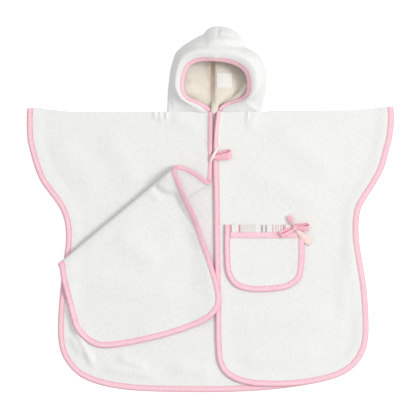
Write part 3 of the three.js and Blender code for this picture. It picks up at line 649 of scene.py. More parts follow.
def stitches(name, centres, directions, normals):
    """A row of sewn stitches: short threads that dip into the cloth at both ends."""
    vertices, faces = [], []
    sides = STITCH["sides"]
    for centre, along, up in zip(centres, directions, normals):
        across = np.cross(up, along)
        start = len(vertices)
        for place, rise, width in STITCH_PROFILE:
            middle = centre + along * place * STITCH["length"] + up * rise * STITCH["thread"] * 2
            for k in range(sides):
                turn = 2 * math.pi * k / sides
                ring = across * math.cos(turn) + up * math.sin(turn)
                vertices.append(middle + ring * STITCH["thread"] * width)
        for j in range(len(STITCH_PROFILE) - 1):
            for k in range(sides):
                a, b = start + j * sides + k, start + j * sides + (k + 1) % sides
                faces.append((a, a + sides, b + sides, b))
        faces.append(tuple(range(start, start + sides)))
        last = start + (len(STITCH_PROFILE) - 1) * sides
        faces.append(tuple(range(last + sides - 1, last - 1, -1)))
    piece = make_piece(name, vertices, faces)
    recalculate_normals(piece)
    return piece


def stitch_binding(name, edge_parts):
    """Stitches along the inner edge of a binding, on its upper side."""
    edge, inward, normal = edge_parts
    path = edge + inward * STITCH["reach"] + normal * (BOUND / 2)
    lengths = lengths_along(path)
    start = STITCH["start"]
    places = np.arange(start, lengths[-1] - start, STITCH["length"] + STITCH["gap"])

    def at(values, where):
        return np.column_stack([np.interp(where, lengths, column) for column in values.T])

    half = STITCH["length"] / 2
    along = unit(at(path, places + half) - at(path, places - half))
    up = unit(at(normal, places))
    up = unit(up - (up * along).sum(1, keepdims=True) * along)
    return stitches(name, at(path, places), along, up)


# The back
back_grid, back_rim = flat_panel(back_outline, BACK_CORNERS, shoulder_line, back_surface, BACK_CELL)
back = make_piece("back_cloth", *panel_faces(back_grid, back_rim), CLOTH)
back_edge, back_parts = make_binding("back_bias", back_rim, bound_loop(back_grid))
back_seam = stitch_binding("back_bias_stitches", back_parts)

# The left front
left_grid, left_rim = flat_panel(left_outline, LEFT_FRONT_CORNERS, shoulder_line, left_surface)
left_front = make_piece("left_front_cloth", *panel_faces(left_grid, left_rim), CLOTH)
left_edge, left_parts = make_binding("left_front_bias", left_rim, bound_loop(left_grid), front_neck_width)
left_seam = stitch_binding("left_front_bias_stitches", left_parts)

# The right front, in its three layers
FRONT_CELLS = 104
BEND_CELLS = 14
CHEST_CELLS = 84
TUCKED_CELLS = 18
FLAP_CELLS = 92
# The shares of the flap's outline within which its upper fold crosses it at its start and its end
FLAP_START = (0, 0.12)
FLAP_END = (0.85, 1)


def side_rows(outline, rim_shares, inner_shares, surface):
    return surface(outline.at(rim_shares, RIM)), surface(outline.at(inner_shares, CLEAR))


def straight(a, b):
    share = np.linspace(0, 1, FRONT_CELLS + 1)[:, None]
    return a * (1 - share) + b * share


def layer(left, right, surface, top=None, bottom=None):
    """A layer's rows with the cut edge at both ends."""
    (left_rim, left_inner), (right_rim, right_inner) = left, right
    top = straight(left_inner[0, :2], right_inner[0, :2]) if top is None else top
    bottom = straight(left_inner[-1, :2], right_inner[-1, :2]) if bottom is None else bottom
    grid = lift_grid(patch(top, bottom, left_inner[:, :2], right_inner[:, :2]), surface)
    return np.concatenate([left_rim[:, None], grid, right_rim[:, None]], axis=1)


def chest_layer(cells):
    def run(outline, start):
        shares = [np.linspace(start, outline.share_at_bend(LOWER_FOLD, inset), cells + 1)
                  for inset in (RIM, CLEAR)]
        rows = side_rows(outline, *shares, chest_surface)
        for row in rows:
            row[0] = chest_surface(shoulder_line(row[:1, 0]))[0]
        return rows

    left, right = run(right_side, 0.0), run(chest_edge, 1.0)
    top = shoulder_line(np.linspace(left[1][0, 0], right[1][0, 0], FRONT_CELLS + 1))
    return layer(left, right, chest_surface, top)


def tucked_layer(cells):
    def run(outline):
        ends = [[outline.share_at_bend(fold, inset) for fold in (LOWER_FOLD, UPPER_FOLD)]
                for inset in (RIM, CLEAR)]
        shares = [np.linspace(first, last, cells + 1) for first, last in ends]
        return side_rows(outline, *shares, tucked_surface)

    return layer(run(tucked_side), run(tucked_edge), tucked_surface)


def flap_layer(cells):
    first, second = (flap_outline.share_near(place) for place in FLAP_CORNERS)

    def run(corner, low, high):
        shares = [np.linspace(flap_outline.share_at_bend(UPPER_FOLD, inset, low, high), corner, cells + 1)
                  for inset in (RIM, CLEAR)]
        return side_rows(flap_outline, *shares, flap_surface)

    hem = np.linspace(first, second, FRONT_CELLS + 1)
    bottom = flap_outline.at(hem, CLEAR)
    rows = layer(run(first, *FLAP_START), run(second, *FLAP_END), flap_surface, None, bottom)
    return rows, flap_surface(flap_outline.at(hem, RIM))


def bend(below, above, fold):
    """The rows round a fold, between the last row below it and the first row above it."""
    rows = []
    for share in np.linspace(0, 1, BEND_CELLS + 1)[1:-1]:
        turn = math.pi * share
        row = below * (1 - share) + above * share
        row[:, :2] += fold.outward * fold.radius * math.sin(turn)
        row[:, 2] = below[:, 2] + (above[:, 2] - below[:, 2]) * (1 - math.cos(turn)) / 2
        rows.append(row)
    return np.array(rows)


chest = chest_layer(CHEST_CELLS)
tucked = tucked_layer(TUCKED_CELLS)
flap, flap_hem = flap_layer(FLAP_CELLS)
rows = np.concatenate([chest, bend(chest[-1], tucked[0], LOWER_FOLD), tucked,
                       bend(tucked[-1], flap[0], UPPER_FOLD), flap])
right_rim = np.vstack([rows[:, 0], flap_hem[1:-1], rows[::-1, -1]])
right_grid = rows[:, 1:-1]
right_front = make_piece("right_front_cloth", *panel_faces(right_grid, right_rim), CLOTH)
right_edge, right_parts = make_binding("right_front_bias", right_rim, bound_loop(right_grid), tucked_width)
right_seam = stitch_binding("right_front_bias_stitches", right_parts)


def tree_of(pieces):
    """All the faces of some pieces, ready to be met from above."""
    vertices, polygons = [], []
    for piece in pieces:
        start = len(vertices)
        vertices += [v.co.copy() for v in piece.data.vertices]
        polygons += [[start + k for k in p.vertices] for p in piece.data.polygons]
    return BVHTree.FromPolygons(vertices, polygons)


def top_heights(tree, places, start=100.0):
    """The height in millimetres of what lies under each place."""
    down = Vector((0, 0, -1))
    heights = []
    for x, y in places[:, :2]:
        hit = tree.ray_cast(Vector((x, y, start)) * MM, down)[0]
        heights.append(hit.z / MM if hit else 0.0)
    return np.array(heights)


# The hood, in one piece round its centre seam
def on_front(places):
    """The height of the fronts under some places, where the hood's first row is sewn on."""
    return np.where(places[:, 0] > 5, left_surface(places)[:, 2], chest_surface(places)[:, 2])


def hood_row(row, ring, seam_place):
    """A row's points: over the crest to the silhouette, then under it and along the floor to the seam."""
    face, side, heights = np.array(row[0], float), np.array(row[1], float), row[2]
    places = [face] + [ring + (side - ring) * share for share in ROW_SHARES]
    over = [(*place, height) for place, height in zip(places, heights)]
    inward = np.array(seam_place) - side
    inward /= np.linalg.norm(inward)
    under = side + inward * UNDER
    middle = (under + np.array(seam_place)) / 2
    return over + [(*under, FLOOR + 0.3), (*middle, FLOOR), (*seam_place, FLOOR)]


ACROSS_CELLS = 12
UP_CELLS = 6
OVER_POINTS = len(ROW_SHARES) * ACROSS_CELLS


def ring_places(stations, side):
    """Where the binding's inner edge lies in plan: square to the face edge, and level at the neck."""
    faces = np.array([row[0] for row in stations], float)
    along = unit(np.gradient(smooth_line(faces, UP_CELLS), axis=0)[::UP_CELLS])
    outward = np.column_stack([along[:, 1], -along[:, 0]]) * side
    outward[0] = (side, 0)
    steps = RING_STEP + (CLEAR - RIM - RING_STEP) * near(np.arange(len(stations)), (0, 3))
    return faces + outward * steps[:, None]


def hood_half(table, side):
    """Rows from the neck to the crown, each from the face edge to the centre seam."""
    stations = table + [CROWN]
    seam_ys = np.linspace(NECK_Y, SEAM_TOP, len(stations))
    rings = ring_places(stations, side)
    rows = [hood_row(row, ring, (SEAM_X, y)) for row, ring, y in zip(stations, rings, seam_ys)]
    rows[-1][1] = (CROWN[0][0], CROWN[0][1] + RING_STEP, CROWN[2][1])
    sections = np.array([smooth_line(row, ACROSS_CELLS) for row in rows])
    grid = np.stack([smooth_line(sections[:, k], UP_CELLS) for k in range(sections.shape[1])], axis=1)
    grid[0, :, 1] = NECK_Y - 0.6
    sewn = grid[0, :OVER_POINTS]
    sewn[:, 2] = on_front(sewn)
    grid[..., 2] = np.maximum(grid[..., 2], FLOOR)
    shape_hood(grid)
    return grid


inside_crease = Outline(INSIDE_CREASE)


def inside_height(places):
    """The folds of the hood's back, as they are seen through its opening."""
    step = 1 - near(places[:, 0], (BULGE["from"], BULGE["to"]))
    bulge = BULGE["height"] * step * np.exp(-(((places[:, 0] - BULGE["centre"]) / BULGE["reach"]) ** 2))
    distance = inside_crease.distance(places)
    crease = np.array(INSIDE_CREASE)[::-1]
    past = places[:, 0] > np.interp(places[:, 1], crease[:, 1], crease[:, 0])
    valley = 1 - np.exp(-((distance / 4.2) ** 2))
    up = np.clip(places[:, 1] - SIDE_RISE["from"], -10, 30)
    rise = (SIDE_RISE["height"] + SIDE_RISE["slope"] * up) * (1 - near(distance, (0, SIDE_RISE["reach"])))
    rise *= near(places[:, 1], SIDE_RISE["fades"]) * near(places[:, 0], SIDE_RISE["ends"])
    ends = near(places[:, 1] - 232, (0, 40)) * near(168 - places[:, 1], (0, 7))
    beside = RIGHT_RISE["height"] * (1 - near(-places[:, 0], RIGHT_RISE["reach"]))
    beside *= 1 - near(places[:, 1] - NECK_Y, RIGHT_RISE["above"])
    return (np.where(past, rise, bulge * valley) + beside + ridges(places, INSIDE_FOLDS)) * ends


def shape_hood(grid):
    """The hood's small folds: over it, and on the floor inside it."""
    rows, columns = grid.shape[:2]
    over = grid[:, :OVER_POINTS].reshape(-1, 3)
    fade = np.clip(np.arange(OVER_POINTS) / 8, 0, 1)[None] * (1 - near(np.arange(rows), (0, 3)))[:, None]
    grid[:, :OVER_POINTS, 2] += ridges(over, HOOD_FOLDS).reshape(rows, -1) * fade
    first = OVER_POINTS + ACROSS_CELLS
    inside = grid[:, first:].reshape(-1, 3)
    fade = np.clip(np.arange(columns - first) / 4, 0, 1)[None] * (1 - near(np.arange(rows), (0, 4)))[:, None]
    grid[:, first:, 2] += inside_height(inside).reshape(rows, -1) * fade


left_hood_grid = hood_half(LEFT_HOOD, 1)
right_hood_grid = hood_half(RIGHT_HOOD, -1)


def hood_cloth():
    """Both halves, joined along the crown and the centre seam, and given their thickness."""
    left_faces, left_numbers = grid_faces(*left_hood_grid.shape[:2])
    right_faces, _ = grid_faces(*right_hood_grid.shape[:2])
    vertices = np.vstack([left_hood_grid.reshape(-1, 3), right_hood_grid.reshape(-1, 3)])
    faces = np.vstack([left_faces[:, ::-1], right_faces + left_numbers.size])
    piece = make_piece("hood_cloth", vertices, faces)
    work = bmesh.new()
    work.from_mesh(piece.data)
    bmesh.ops.remove_doubles(work, verts=work.verts, dist=0.05 * MM)
    work.to_mesh(piece.data)
    work.free()
    count = len(piece.data.polygons)
    give_wall(piece, HOOD_CLOTH)
    smooth_faces(piece)
    return piece, count


hood, HOOD_FACES = hood_cloth()
face_rim = np.vstack([left_hood_grid[:, 0], right_hood_grid[-2::-1, 0]])
face_inner = np.vstack([left_hood_grid[:, ACROSS_CELLS], right_hood_grid[-2::-1, ACROSS_CELLS]])
hood_edge, hood_parts = make_binding("hood_bias", face_rim, face_inner, ring_width)
hood_seam = stitch_binding("hood_bias_stitches", (hood_parts[0], hood_parts[1], -hood_parts[2]))

# The seam allowance of the back neck, which shows as a small soft fold at the bottom of the hood
NECK_FOLD = [(10, 190, 4.6), (9.4, 181, 6.4), (8, 172, 8.2), (6.4, 164, 9), (5.4, 159.4, 7.8),
             (5.4, 157, 4.4), (5.8, 152, 3.2), (5, 120, 3.2), (4.2, 106, 3.2)]
NECK_FOLD_WIDTHS = (5, 9, 12, 11, 9.5, 6, 3.4, 2.6, 2)


# What lies on the cloth
left_tree = tree_of([left_front, left_edge])


def pocket_surface(places):
    own = near(pocket_outline.distance(places), POCKET_EDGE)
    return lying(places, top_heights(left_tree, places) + SEAM + CLOTH / 2 + EDGE_LIFT * own)


def pocket_top(xs):
    return np.column_stack([xs, np.full(len(xs), POCKET_OUTLINE[0][1])])


pocket_grid, pocket_rim = flat_panel(pocket_outline, POCKET_CORNERS, pocket_top, pocket_surface, POCKET_CELL)
pocket = make_piece("pocket_cloth", *panel_faces(pocket_grid, pocket_rim), CLOTH)
pocket_edge, pocket_parts = make_binding("pocket_bias", pocket_rim, bound_loop(pocket_grid))
pocket_seam = stitch_binding("pocket_bias_stitches", pocket_parts)
pocket_tree = tree_of([pocket])


def laid_band(name, x_range, y_range, thickness, puff=0.0):
    """A flat band laid on the pocket, a little crowned where it is puffed."""
    columns = int((x_range[1] - x_range[0]) / BAND_CELL) + 1
    rows = max(int((y_range[0] - y_range[1]) / BAND_CELL), 4) + 1
    xs, ys = np.linspace(*x_range, columns), np.linspace(*y_range, rows)
    grid = np.stack(np.meshgrid(xs, ys), axis=-1).reshape(-1, 2)
    crown = 1 - (2 * (grid[:, 1] - y_range[1]) / (y_range[0] - y_range[1]) - 1) ** 2
    heights = top_heights(pocket_tree, grid) + SEAM + thickness / 2 + puff * crown
    faces, _ = grid_faces(rows, columns)
    piece = make_piece(name, lying(grid, heights), faces)
    # Painted shadow: this share grows towards the band's lower edge, so the pink strip's colour darkens there
    # as in a shadow under its edge
    across = 0.3 + 0.7 * np.repeat(np.linspace(0, 1, rows) ** 2, columns)
    piece.data.attributes.new("across", "FLOAT", "POINT").data.foreach_set("value", across)
    give_wall(piece, thickness)
    smooth_faces(piece)
    return piece


tape_x = (POCKET_OUTLINE[0][0] + CLEAR, POCKET_OUTLINE[-1][0] - CLEAR)
tape_top = POCKET_OUTLINE[0][1] - 0.6
stripes = laid_band("pocket_printed_tape", tape_x, (tape_top, tape_top - STRIPES_WIDTH), STRIPES_THICKNESS)
strip_top = tape_top - STRIPES_WIDTH - SEAM
strip = laid_band("pocket_pink_band", tape_x, (strip_top, strip_top - STRIP_WIDTH), TAPE, puff=0.3)

label_x = (LABEL["x"] - LABEL["width"] / 2, LABEL["x"] + LABEL["width"] / 2)
label_y = (LABEL["y"] + LABEL["height"] / 2, LABEL["y"] - LABEL["height"] / 2)
floor_tree = tree_of([hood])
INSIDE_HOOD = 18.0


def label_heights():
    """The label lies inside the hood, so it is met from below the hood's upper side."""
    columns = LABEL_CELLS + 1
    xs, ys = np.linspace(*label_x, columns), np.linspace(*label_y, columns)
    grid = np.stack(np.meshgrid(xs, ys), axis=-1).reshape(-1, 2)
    heights = top_heights(floor_tree, grid, INSIDE_HOOD) + SEAM + LABEL["thickness"] / 2
    faces, _ = grid_faces(columns, columns)
    return make_piece("hood_label", lying(grid, heights), faces, LABEL["thickness"])


label = label_heights()


# A ribbon's section: shares of its width and of its thickness
RIBBON_RING = [(-0.5, 0), (-0.44, -0.5), (0, -0.62), (0.44, -0.5),
               (0.5, 0), (0.44, 0.5), (0, 0.62), (-0.44, 0.5)]


def ribbon(path, widths, leans, thickness=0.9, per_span=8):
    """A flat ribbon along a path, with its width and the way it leans at each of the path's points."""
    points = smooth_line(path, per_span)
    shares = np.linspace(0, 1, len(points))
    wide = np.interp(shares, np.linspace(0, 1, len(widths)), widths)
    leans = np.array(leans, float)
    lean = np.column_stack([np.interp(shares, np.linspace(0, 1, len(leans)), column) for column in leans.T])
    along = unit(np.gradient(points, axis=0))
    side = unit(lean - (lean * along).sum(1, keepdims=True) * along)
    up = np.cross(along, side)
    sections = [points + side * wide[:, None] * a + up * thickness * b for a, b in RIBBON_RING]
    return sweep(np.stack(sections, axis=1))


def joined(name, parts):
    vertices, faces = [], []
    for part_vertices, part_faces in parts:
        start = len(vertices)
        vertices += list(part_vertices)
        faces += [[start + k for k in face] for face in part_faces]
    piece = make_piece(name, vertices, faces)
    recalculate_normals(piece)
    return piece


def knot_band(centre, turn, long, wide, thick):
    """The ribbon's turn round the knot, a short puffed tube."""
    x, y, z = centre
    c, s = math.cos(turn), math.sin(turn)
    sections = []
    for share in np.linspace(-1, 1, 13):
        full = math.sqrt(max(1 - (share * 0.94) ** 2, 0)) * 0.4 + 0.6
        ring = []
        for k in range(18):
            a = 2 * math.pi * k / 18
            crease = 1 - 0.07 * (1 + math.cos(5 * a)) / 2
            u = math.cos(a) * wide / 2 * full * crease
            w = math.sin(a) * thick / 2 * full * crease
            v = share * long / 2
            ring.append((x + c * v - s * u, y + s * v + c * u, z + w))
        sections.append(ring)
    return sweep(np.array(sections))


BOW_RIGHT = [(140, -27.5, 10.6), (148, -26, 10.4), (157, -25.5, 10.6), (162.2, -27.5, 12.4),
             (161.4, -30.5, 14.4), (154, -32, 15), (146, -31, 14.6), (140, -30, 13)]
BOW_LEFT = [(139, -30, 10.4), (131, -33, 10.2), (121, -37, 10.2), (115, -40.5, 11.4), (116.5, -43.5, 13.4),
            (124, -41.5, 14.2), (132, -36.5, 13.8), (139, -32, 12.6)]
pocket_bow = joined("pocket_ribbon_bow", [
    ribbon(BOW_RIGHT, (4, 7.5, 9, 9, 9, 9, 7.5, 4), [(0.1, 1, 0.5), (0, 1, 0.75), (0, 1, 0.55), (0, 1, 0.4)]),
    ribbon(BOW_LEFT, (4, 6.5, 7.5, 8, 8, 7.5, 6, 4), [(-0.4, 1, 0.5), (-0.4, 1, 0.6), (-0.4, 1, 0.45)]),
    ribbon([(138.6, -29, 12), (134.6, -21, 11.6), (131.6, -15, 10.4), (129.4, -10.4, 8.8)], (4, 7, 8.4, 9),
           [(1, 0.55, 0.3), (1, 0.6, 0)]),
    knot_band((138.8, -30.2, 13.0), 1.25, 8, 7.5, 5.4),
])
bow_tail = joined("pocket_ribbon_tail", [
    ribbon([(140.5, -32, 11.2), (146, -38, 12.4), (154, -46, 11.0), (160, -51.5, 9.2), (165.4, -55.6, 8.4)],
           (4.5, 7.5, 10, 11.5, 12), [(1, 0.9, 0.3), (1, 0.8, 0.2), (1, 0.85, 0)]),
])
TIE_LOOP = [(4.5, 86, 8.2), (12, 88, 8.0), (22, 91, 8.2), (30, 93.5, 9.4), (33.4, 92, 11.4), (30.5, 88.6, 13),
            (22, 86.6, 13.2), (12, 85.6, 12.2), (5, 85.8, 10.8)]
neck_tie = joined("neck_ribbon_tie", [
    ribbon(TIE_LOOP, (4.5, 8.5, 12, 13.5, 13.5, 13, 11.5, 8.5, 5),
           [(-0.1, 1, 0.3), (-0.15, 1, 0.55), (-0.15, 1, 0.5), (-0.1, 1, 0.25)]),
    knot_band((5.6, 86.4, 10.6), 0.35, 6.2, 7.4, 5.2),
])
tie_tail = joined("neck_ribbon_tail", [
    ribbon([(12.8, 103.4, 8.6), (9.4, 97, 10.4), (5.2, 89.6, 13.2), (2.2, 83.2, 11.6), (0.2, 77.6, 8.9)],
           (4.2, 4.4, 4.2, 4.4, 4.6), [(1, -0.5, 0.25), (1, -0.45, -0.1), (1, -0.4, 0.1)]),
])
neck_fold = joined("back_neck_fold", [
    ribbon(NECK_FOLD, NECK_FOLD_WIDTHS, [(1, 0.2, 0), (1, 0.1, 0)], thickness=2.0),
])


# Materials
def new_group(name, inputs, outputs):
    """A shader node group with named inputs, each with its first value, and named outputs."""
    group = bpy.data.node_groups.new(name, "ShaderNodeTree")
    for label_text, kind, value in inputs:
        socket = group.interface.new_socket(label_text, in_out="INPUT", socket_type=kind)
        socket.default_value = value
    for label_text, kind in outputs:
        group.interface.new_socket(label_text, in_out="OUTPUT", socket_type=kind)
    start = group.nodes.new("NodeGroupInput")
    end = group.nodes.new("NodeGroupOutput")
    return group, start, end


def add_node(tree, kind, **values):
    """A node with its properties, and the values of its inputs by name."""
    node = tree.nodes.new(kind)
    for key, value in values.items():
        if key in node.inputs:
            node.inputs[key].default_value = value
        else:
            setattr(node, key, value)
    return node


def math_node(tree, operation, first, second):
    """A Math node whose two inputs are sockets or numbers."""
    node = tree.nodes.new("ShaderNodeMath")
    node.operation = operation
    for k, value in enumerate((first, second)):
        if isinstance(value, (int, float)):
            node.inputs[k].default_value = value
        else:
            tree.links.new(value, node.inputs[k])
    return node.outputs[0]


def terry_group():
    """The looped pile of terry: its height, and how dark it is between the loops."""
    group, start, end = new_group(
        "terry pile",
        [("Loops per metre", "NodeSocketFloat", 620.0), ("Tufts per metre", "NodeSocketFloat", 150.0)],
        [("Height", "NodeSocketFloat"), ("Shade", "NodeSocketFloat")])
    links = group.links
    place = add_node(group, "ShaderNodeTexCoord")
    loops = add_node(group, "ShaderNodeTexVoronoi", feature="SMOOTH_F1", Smoothness=0.6, Randomness=0.85)
    links.new(place.outputs["Object"], loops.inputs["Vector"])
    links.new(start.outputs["Loops per metre"], loops.inputs["Scale"])
    tufts = add_node(group, "ShaderNodeTexNoise", Detail=4.0, Roughness=0.62)
    links.new(place.outputs["Object"], tufts.inputs["Vector"])
    links.new(start.outputs["Tufts per metre"], tufts.inputs["Scale"])
    loop_height = math_node(group, "SUBTRACT", 1.0, loops.outputs["Distance"])
    height = math_node(group, "ADD", loop_height, math_node(group, "MULTIPLY", tufts.outputs["Fac"], 1.4))
    links.new(height, end.inputs["Height"])
    shade = math_node(group, "ADD", math_node(group, "MULTIPLY", loop_height, 0.5),
                      math_node(group, "MULTIPLY", tufts.outputs["Fac"], 0.5))
    links.new(shade, end.inputs["Shade"])
    return group


# The Wave texture's scale for one thread a metre, where each wave covers two threads
WAVE_SCALE = 0.159


def weave_group():
    """A fine plain weave: its height, and how dark it is between the threads."""
    group, start, end = new_group(
        "fine weave",
        [("Threads per metre", "NodeSocketFloat", 2200.0)],
        [("Height", "NodeSocketFloat"), ("Shade", "NodeSocketFloat")])
    links = group.links
    place = add_node(group, "ShaderNodeTexCoord")
    scale = math_node(group, "MULTIPLY", start.outputs["Threads per metre"], WAVE_SCALE)
    threads = []
    for direction in ("X", "Y"):
        wave = add_node(group, "ShaderNodeTexWave", wave_type="BANDS", bands_direction=direction,
                        Distortion=1.2, Detail=2.0)
        links.new(place.outputs["Object"], wave.inputs["Vector"])
        links.new(scale, wave.inputs["Scale"])
        threads.append(wave.outputs["Fac"])
    slub = add_node(group, "ShaderNodeTexNoise", Scale=260.0, Detail=3.0)
    links.new(place.outputs["Object"], slub.inputs["Vector"])
    crossed = math_node(group, "MULTIPLY", threads[0], threads[1])
    height = math_node(group, "ADD", crossed, slub.outputs["Fac"])
    links.new(height, end.inputs["Height"])
    links.new(slub.outputs["Fac"], end.inputs["Shade"])
    return group


TERRY_PILE = terry_group()
FINE_WEAVE = weave_group()


def cloth_material(name, group, low, high, bump, sheen, roughness):
    """A cloth: the group's shade runs between two colours, and its height makes the bump."""
    material = bpy.data.materials.new(name)
    material.use_nodes = True
    tree = material.node_tree
    shader = tree.nodes["Principled BSDF"]
    effect = tree.nodes.new("ShaderNodeGroup")
    effect.node_tree = group
    ramp = add_node(tree, "ShaderNodeValToRGB")
    ramp.color_ramp.elements[0].position = 0.25
    ramp.color_ramp.elements[0].color = (*low, 1)
    ramp.color_ramp.elements[1].position = 0.75
    ramp.color_ramp.elements[1].color = (*high, 1)
    tree.links.new(effect.outputs["Shade"], ramp.inputs["Fac"])
    tree.links.new(ramp.outputs["Color"], shader.inputs["Base Color"])
    relief = add_node(tree, "ShaderNodeBump", Strength=1.0, Distance=bump * MM)
    tree.links.new(effect.outputs["Height"], relief.inputs["Height"])
    tree.links.new(relief.outputs["Normal"], shader.inputs["Normal"])
    shader.inputs["Roughness"].default_value = roughness
    shader.inputs["Sheen Weight"].default_value = sheen
    shader.inputs["Sheen Roughness"].default_value = 0.5
    shader.inputs["Specular IOR Level"].default_value = 0.2
    return material


# Painted shade on the bias strip: its colour darkens towards its folded edge and its stitched edge, where the
# strip turns away from the light
BINDING_EDGE_PAINTED_SHADE = [(0.0, (0.86, 0.70, 0.75)), (0.13, (0.90, 0.78, 0.82)), (0.27, (1, 1, 1)), (0.72, (1, 1, 1)),
               (0.9, (0.95, 0.87, 0.9)), (1.0, (0.88, 0.76, 0.8))]


def tinted(tree, shades, share, strength=None):
    """Multiplies the shader's colour by a row of shades, read off at a share, where the strength is up."""
    shader = tree.nodes["Principled BSDF"]
    colour = shader.inputs["Base Color"].links[0].from_socket
    ramp = add_node(tree, "ShaderNodeValToRGB")
    elements = ramp.color_ramp.elements
    for k, (position, shade) in enumerate(shades):
        element = elements[k] if k < 2 else elements.new(position)
        element.position = position
        element.color = (*shade, 1)
    tree.links.new(share, ramp.inputs["Fac"])
    mix = add_node(tree, "ShaderNodeMix", data_type="RGBA", blend_type="MULTIPLY")
    mix.inputs["Factor"].default_value = 1
    if strength:
        tree.links.new(strength, mix.inputs["Factor"])
    tree.links.new(colour, mix.inputs["A"])
    tree.links.new(ramp.outputs["Color"], mix.inputs["B"])
    tree.links.new(mix.outputs["Result"], shader.inputs["Base Color"])
    return ramp


def share_along(tree, axis, low, high):
    """How far each place lies from a low to a high value of one axis, both in millimetres."""
    place = add_node(tree, "ShaderNodeTexCoord")
    parts = add_node(tree, "ShaderNodeSeparateXYZ")
    tree.links.new(place.outputs["Object"], parts.inputs["Vector"])
    share = add_node(tree, "ShaderNodeMapRange", **{"From Min": low * MM, "From Max": high * MM})
    tree.links.new(parts.outputs[axis], share.inputs["Value"])
    return share.outputs["Result"]


# Paints shade on a material by the piece's share across it, read from its 'across' attribute
def painted_shade_across(material, shades):
    place = add_node(material.node_tree, "ShaderNodeAttribute", attribute_name="across")
    tinted(material.node_tree, shades, place.outputs["Fac"])


# Painted shade beside the centre seam, where the right half's bulge shades the fold: how the hood's inside
# colour darkens by its place from side to side in millimetres
SEAM_PAINTED_SHADE = [(-8, (1, 1, 1)), (-1, (0.95, 0.92, 0.90)), (3, (0.84, 0.76, 0.72)), (7.6, (0.74, 0.62, 0.56)),
               (8.8, (1, 1, 1)), (40, (1, 1, 1))]

# The painted seam shade fades away towards the neck
SEAM_FROM = (176, 206)


# Paints the shade beside the centre seam on a material, fading towards the neck
def paint_seam_shade(material, shades):
    tree = material.node_tree
    low, high = shades[0][0], shades[-1][0]
    shares = [((x - low) / (high - low), shade) for x, shade in shades]
    tinted(tree, shares, share_along(tree, "X", low, high), share_along(tree, "Y", *SEAM_FROM))


WHITE = cloth_material(
    "white terry", TERRY_PILE, (0.755, 0.758, 0.735), (0.84, 0.843, 0.82), 0.45, 0.1, 0.95)
HOOD_WHITE = cloth_material(
    "hood terry", TERRY_PILE, (0.745, 0.748, 0.728), (0.825, 0.828, 0.808), 0.4, 0.1, 0.95)
# The hood's inside: the same terry in a darker, warmer colour, which paints the shade and warm bounce inside
# the hood
HOOD_INSIDE_PAINTED_SHADE = cloth_material(
    "hood terry in painted shade", TERRY_PILE, (0.73, 0.67, 0.57), (0.83, 0.785, 0.695), 0.4, 0.1, 0.95)
paint_seam_shade(HOOD_INSIDE_PAINTED_SHADE, SEAM_PAINTED_SHADE)
PINK = cloth_material(
    "pink bias", FINE_WEAVE, (0.87, 0.535, 0.605), (0.95, 0.64, 0.705), 0.12, 0.1, 0.8)
painted_shade_across(PINK, BINDING_EDGE_PAINTED_SHADE)
PINK_RIBBON = cloth_material(
    "pink ribbon", FINE_WEAVE, (0.86, 0.44, 0.52), (0.95, 0.56, 0.63), 0.1, 0.1, 0.75)
CREAM_RIBBON = cloth_material(
    "cream ribbon", FINE_WEAVE, (0.85, 0.78, 0.69), (0.93, 0.88, 0.81), 0.1, 0.1, 0.75)
PEACH_RIBBON = cloth_material(
    "peach ribbon", FINE_WEAVE, (0.88, 0.64, 0.60), (0.94, 0.74, 0.69), 0.1, 0.1, 0.75)
THREAD = cloth_material(
    "pink thread", FINE_WEAVE, (0.84, 0.46, 0.54), (0.92, 0.56, 0.63), 0.05, 0.05, 0.6)
LABEL_CLOTH = cloth_material(
    "label satin", FINE_WEAVE, (0.80, 0.79, 0.76), (0.88, 0.87, 0.84), 0.05, 0.1, 0.5)

# The printed tape's stripes: where each starts, in millimetres from the tape's left end, and its colour
STRIPE_COLOURS = {
    "white": (0.84, 0.83, 0.80), "mint": (0.79, 0.82, 0.785), "pink": (0.72, 0.30, 0.37),
    "beige": (0.77, 0.73, 0.69), "light beige": (0.82, 0.79, 0.75), "grey": (0.46, 0.455, 0.44),
    "rose": (0.73, 0.47, 0.51), "plum": (0.52, 0.36, 0.42),
}
STRIPES = [
    (0.0, "pink"), (1.6, "white"), (3.5, "mint"), (10.0, "white"), (12.6, "pink"), (15.6, "beige"),
    (41.4, "white"), (44.2, "mint"), (46.8, "white"), (49.4, "grey"), (53.0, "white"), (56.0, "grey"),
    (59.8, "white"), (64.0, "light beige"), (65.4, "white"), (68.2, "rose"), (70.2, "white"), (73.2, "rose"),
    (75.2, "white"), (77.4, "rose"), (78.6, "white"), (81.4, "rose"), (83.6, "white"), (85.4, "plum"),
    (87.4, "rose"), (91.0, "white"), (94.0, "mint"), (98.0, "beige"), (106.0, "white"), (109.0, "pink"),
    (111.5, "white"),
]


def stripes_material(x_start, x_end):
    material = cloth_material("printed tape", FINE_WEAVE, (0.9, 0.9, 0.9), (1.0, 1.0, 1.0), 0.06, 0.05, 0.7)
    tree = material.node_tree
    width = x_end - x_start
    shares = [(start / width, STRIPE_COLOURS[colour]) for start, colour in STRIPES]
    ramp = tinted(tree, shares, share_along(tree, "X", x_start, x_end))
    ramp.color_ramp.interpolation = "CONSTANT"
    return material


def finish_with(material, *pieces):
    for piece in pieces:
        piece.data.materials.clear()
        piece.data.materials.append(material)


finish_with(WHITE, back, left_front, right_front, pocket)
finish_with(PINK, back_edge, left_edge, right_edge, hood_edge, pocket_edge, strip)
finish_with(THREAD, back_seam, left_seam, right_seam, hood_seam, pocket_seam)
finish_with(PINK_RIBBON, pocket_bow, neck_tie)
finish_with(CREAM_RIBBON, tie_tail)
finish_with(PEACH_RIBBON, bow_tail)
# The back neck's fold takes the hood's inside colour, which paints shade on it
finish_with(HOOD_INSIDE_PAINTED_SHADE, neck_fold)
finish_with(LABEL_CLOTH, label)
finish_with(stripes_material(*tape_x), stripes)


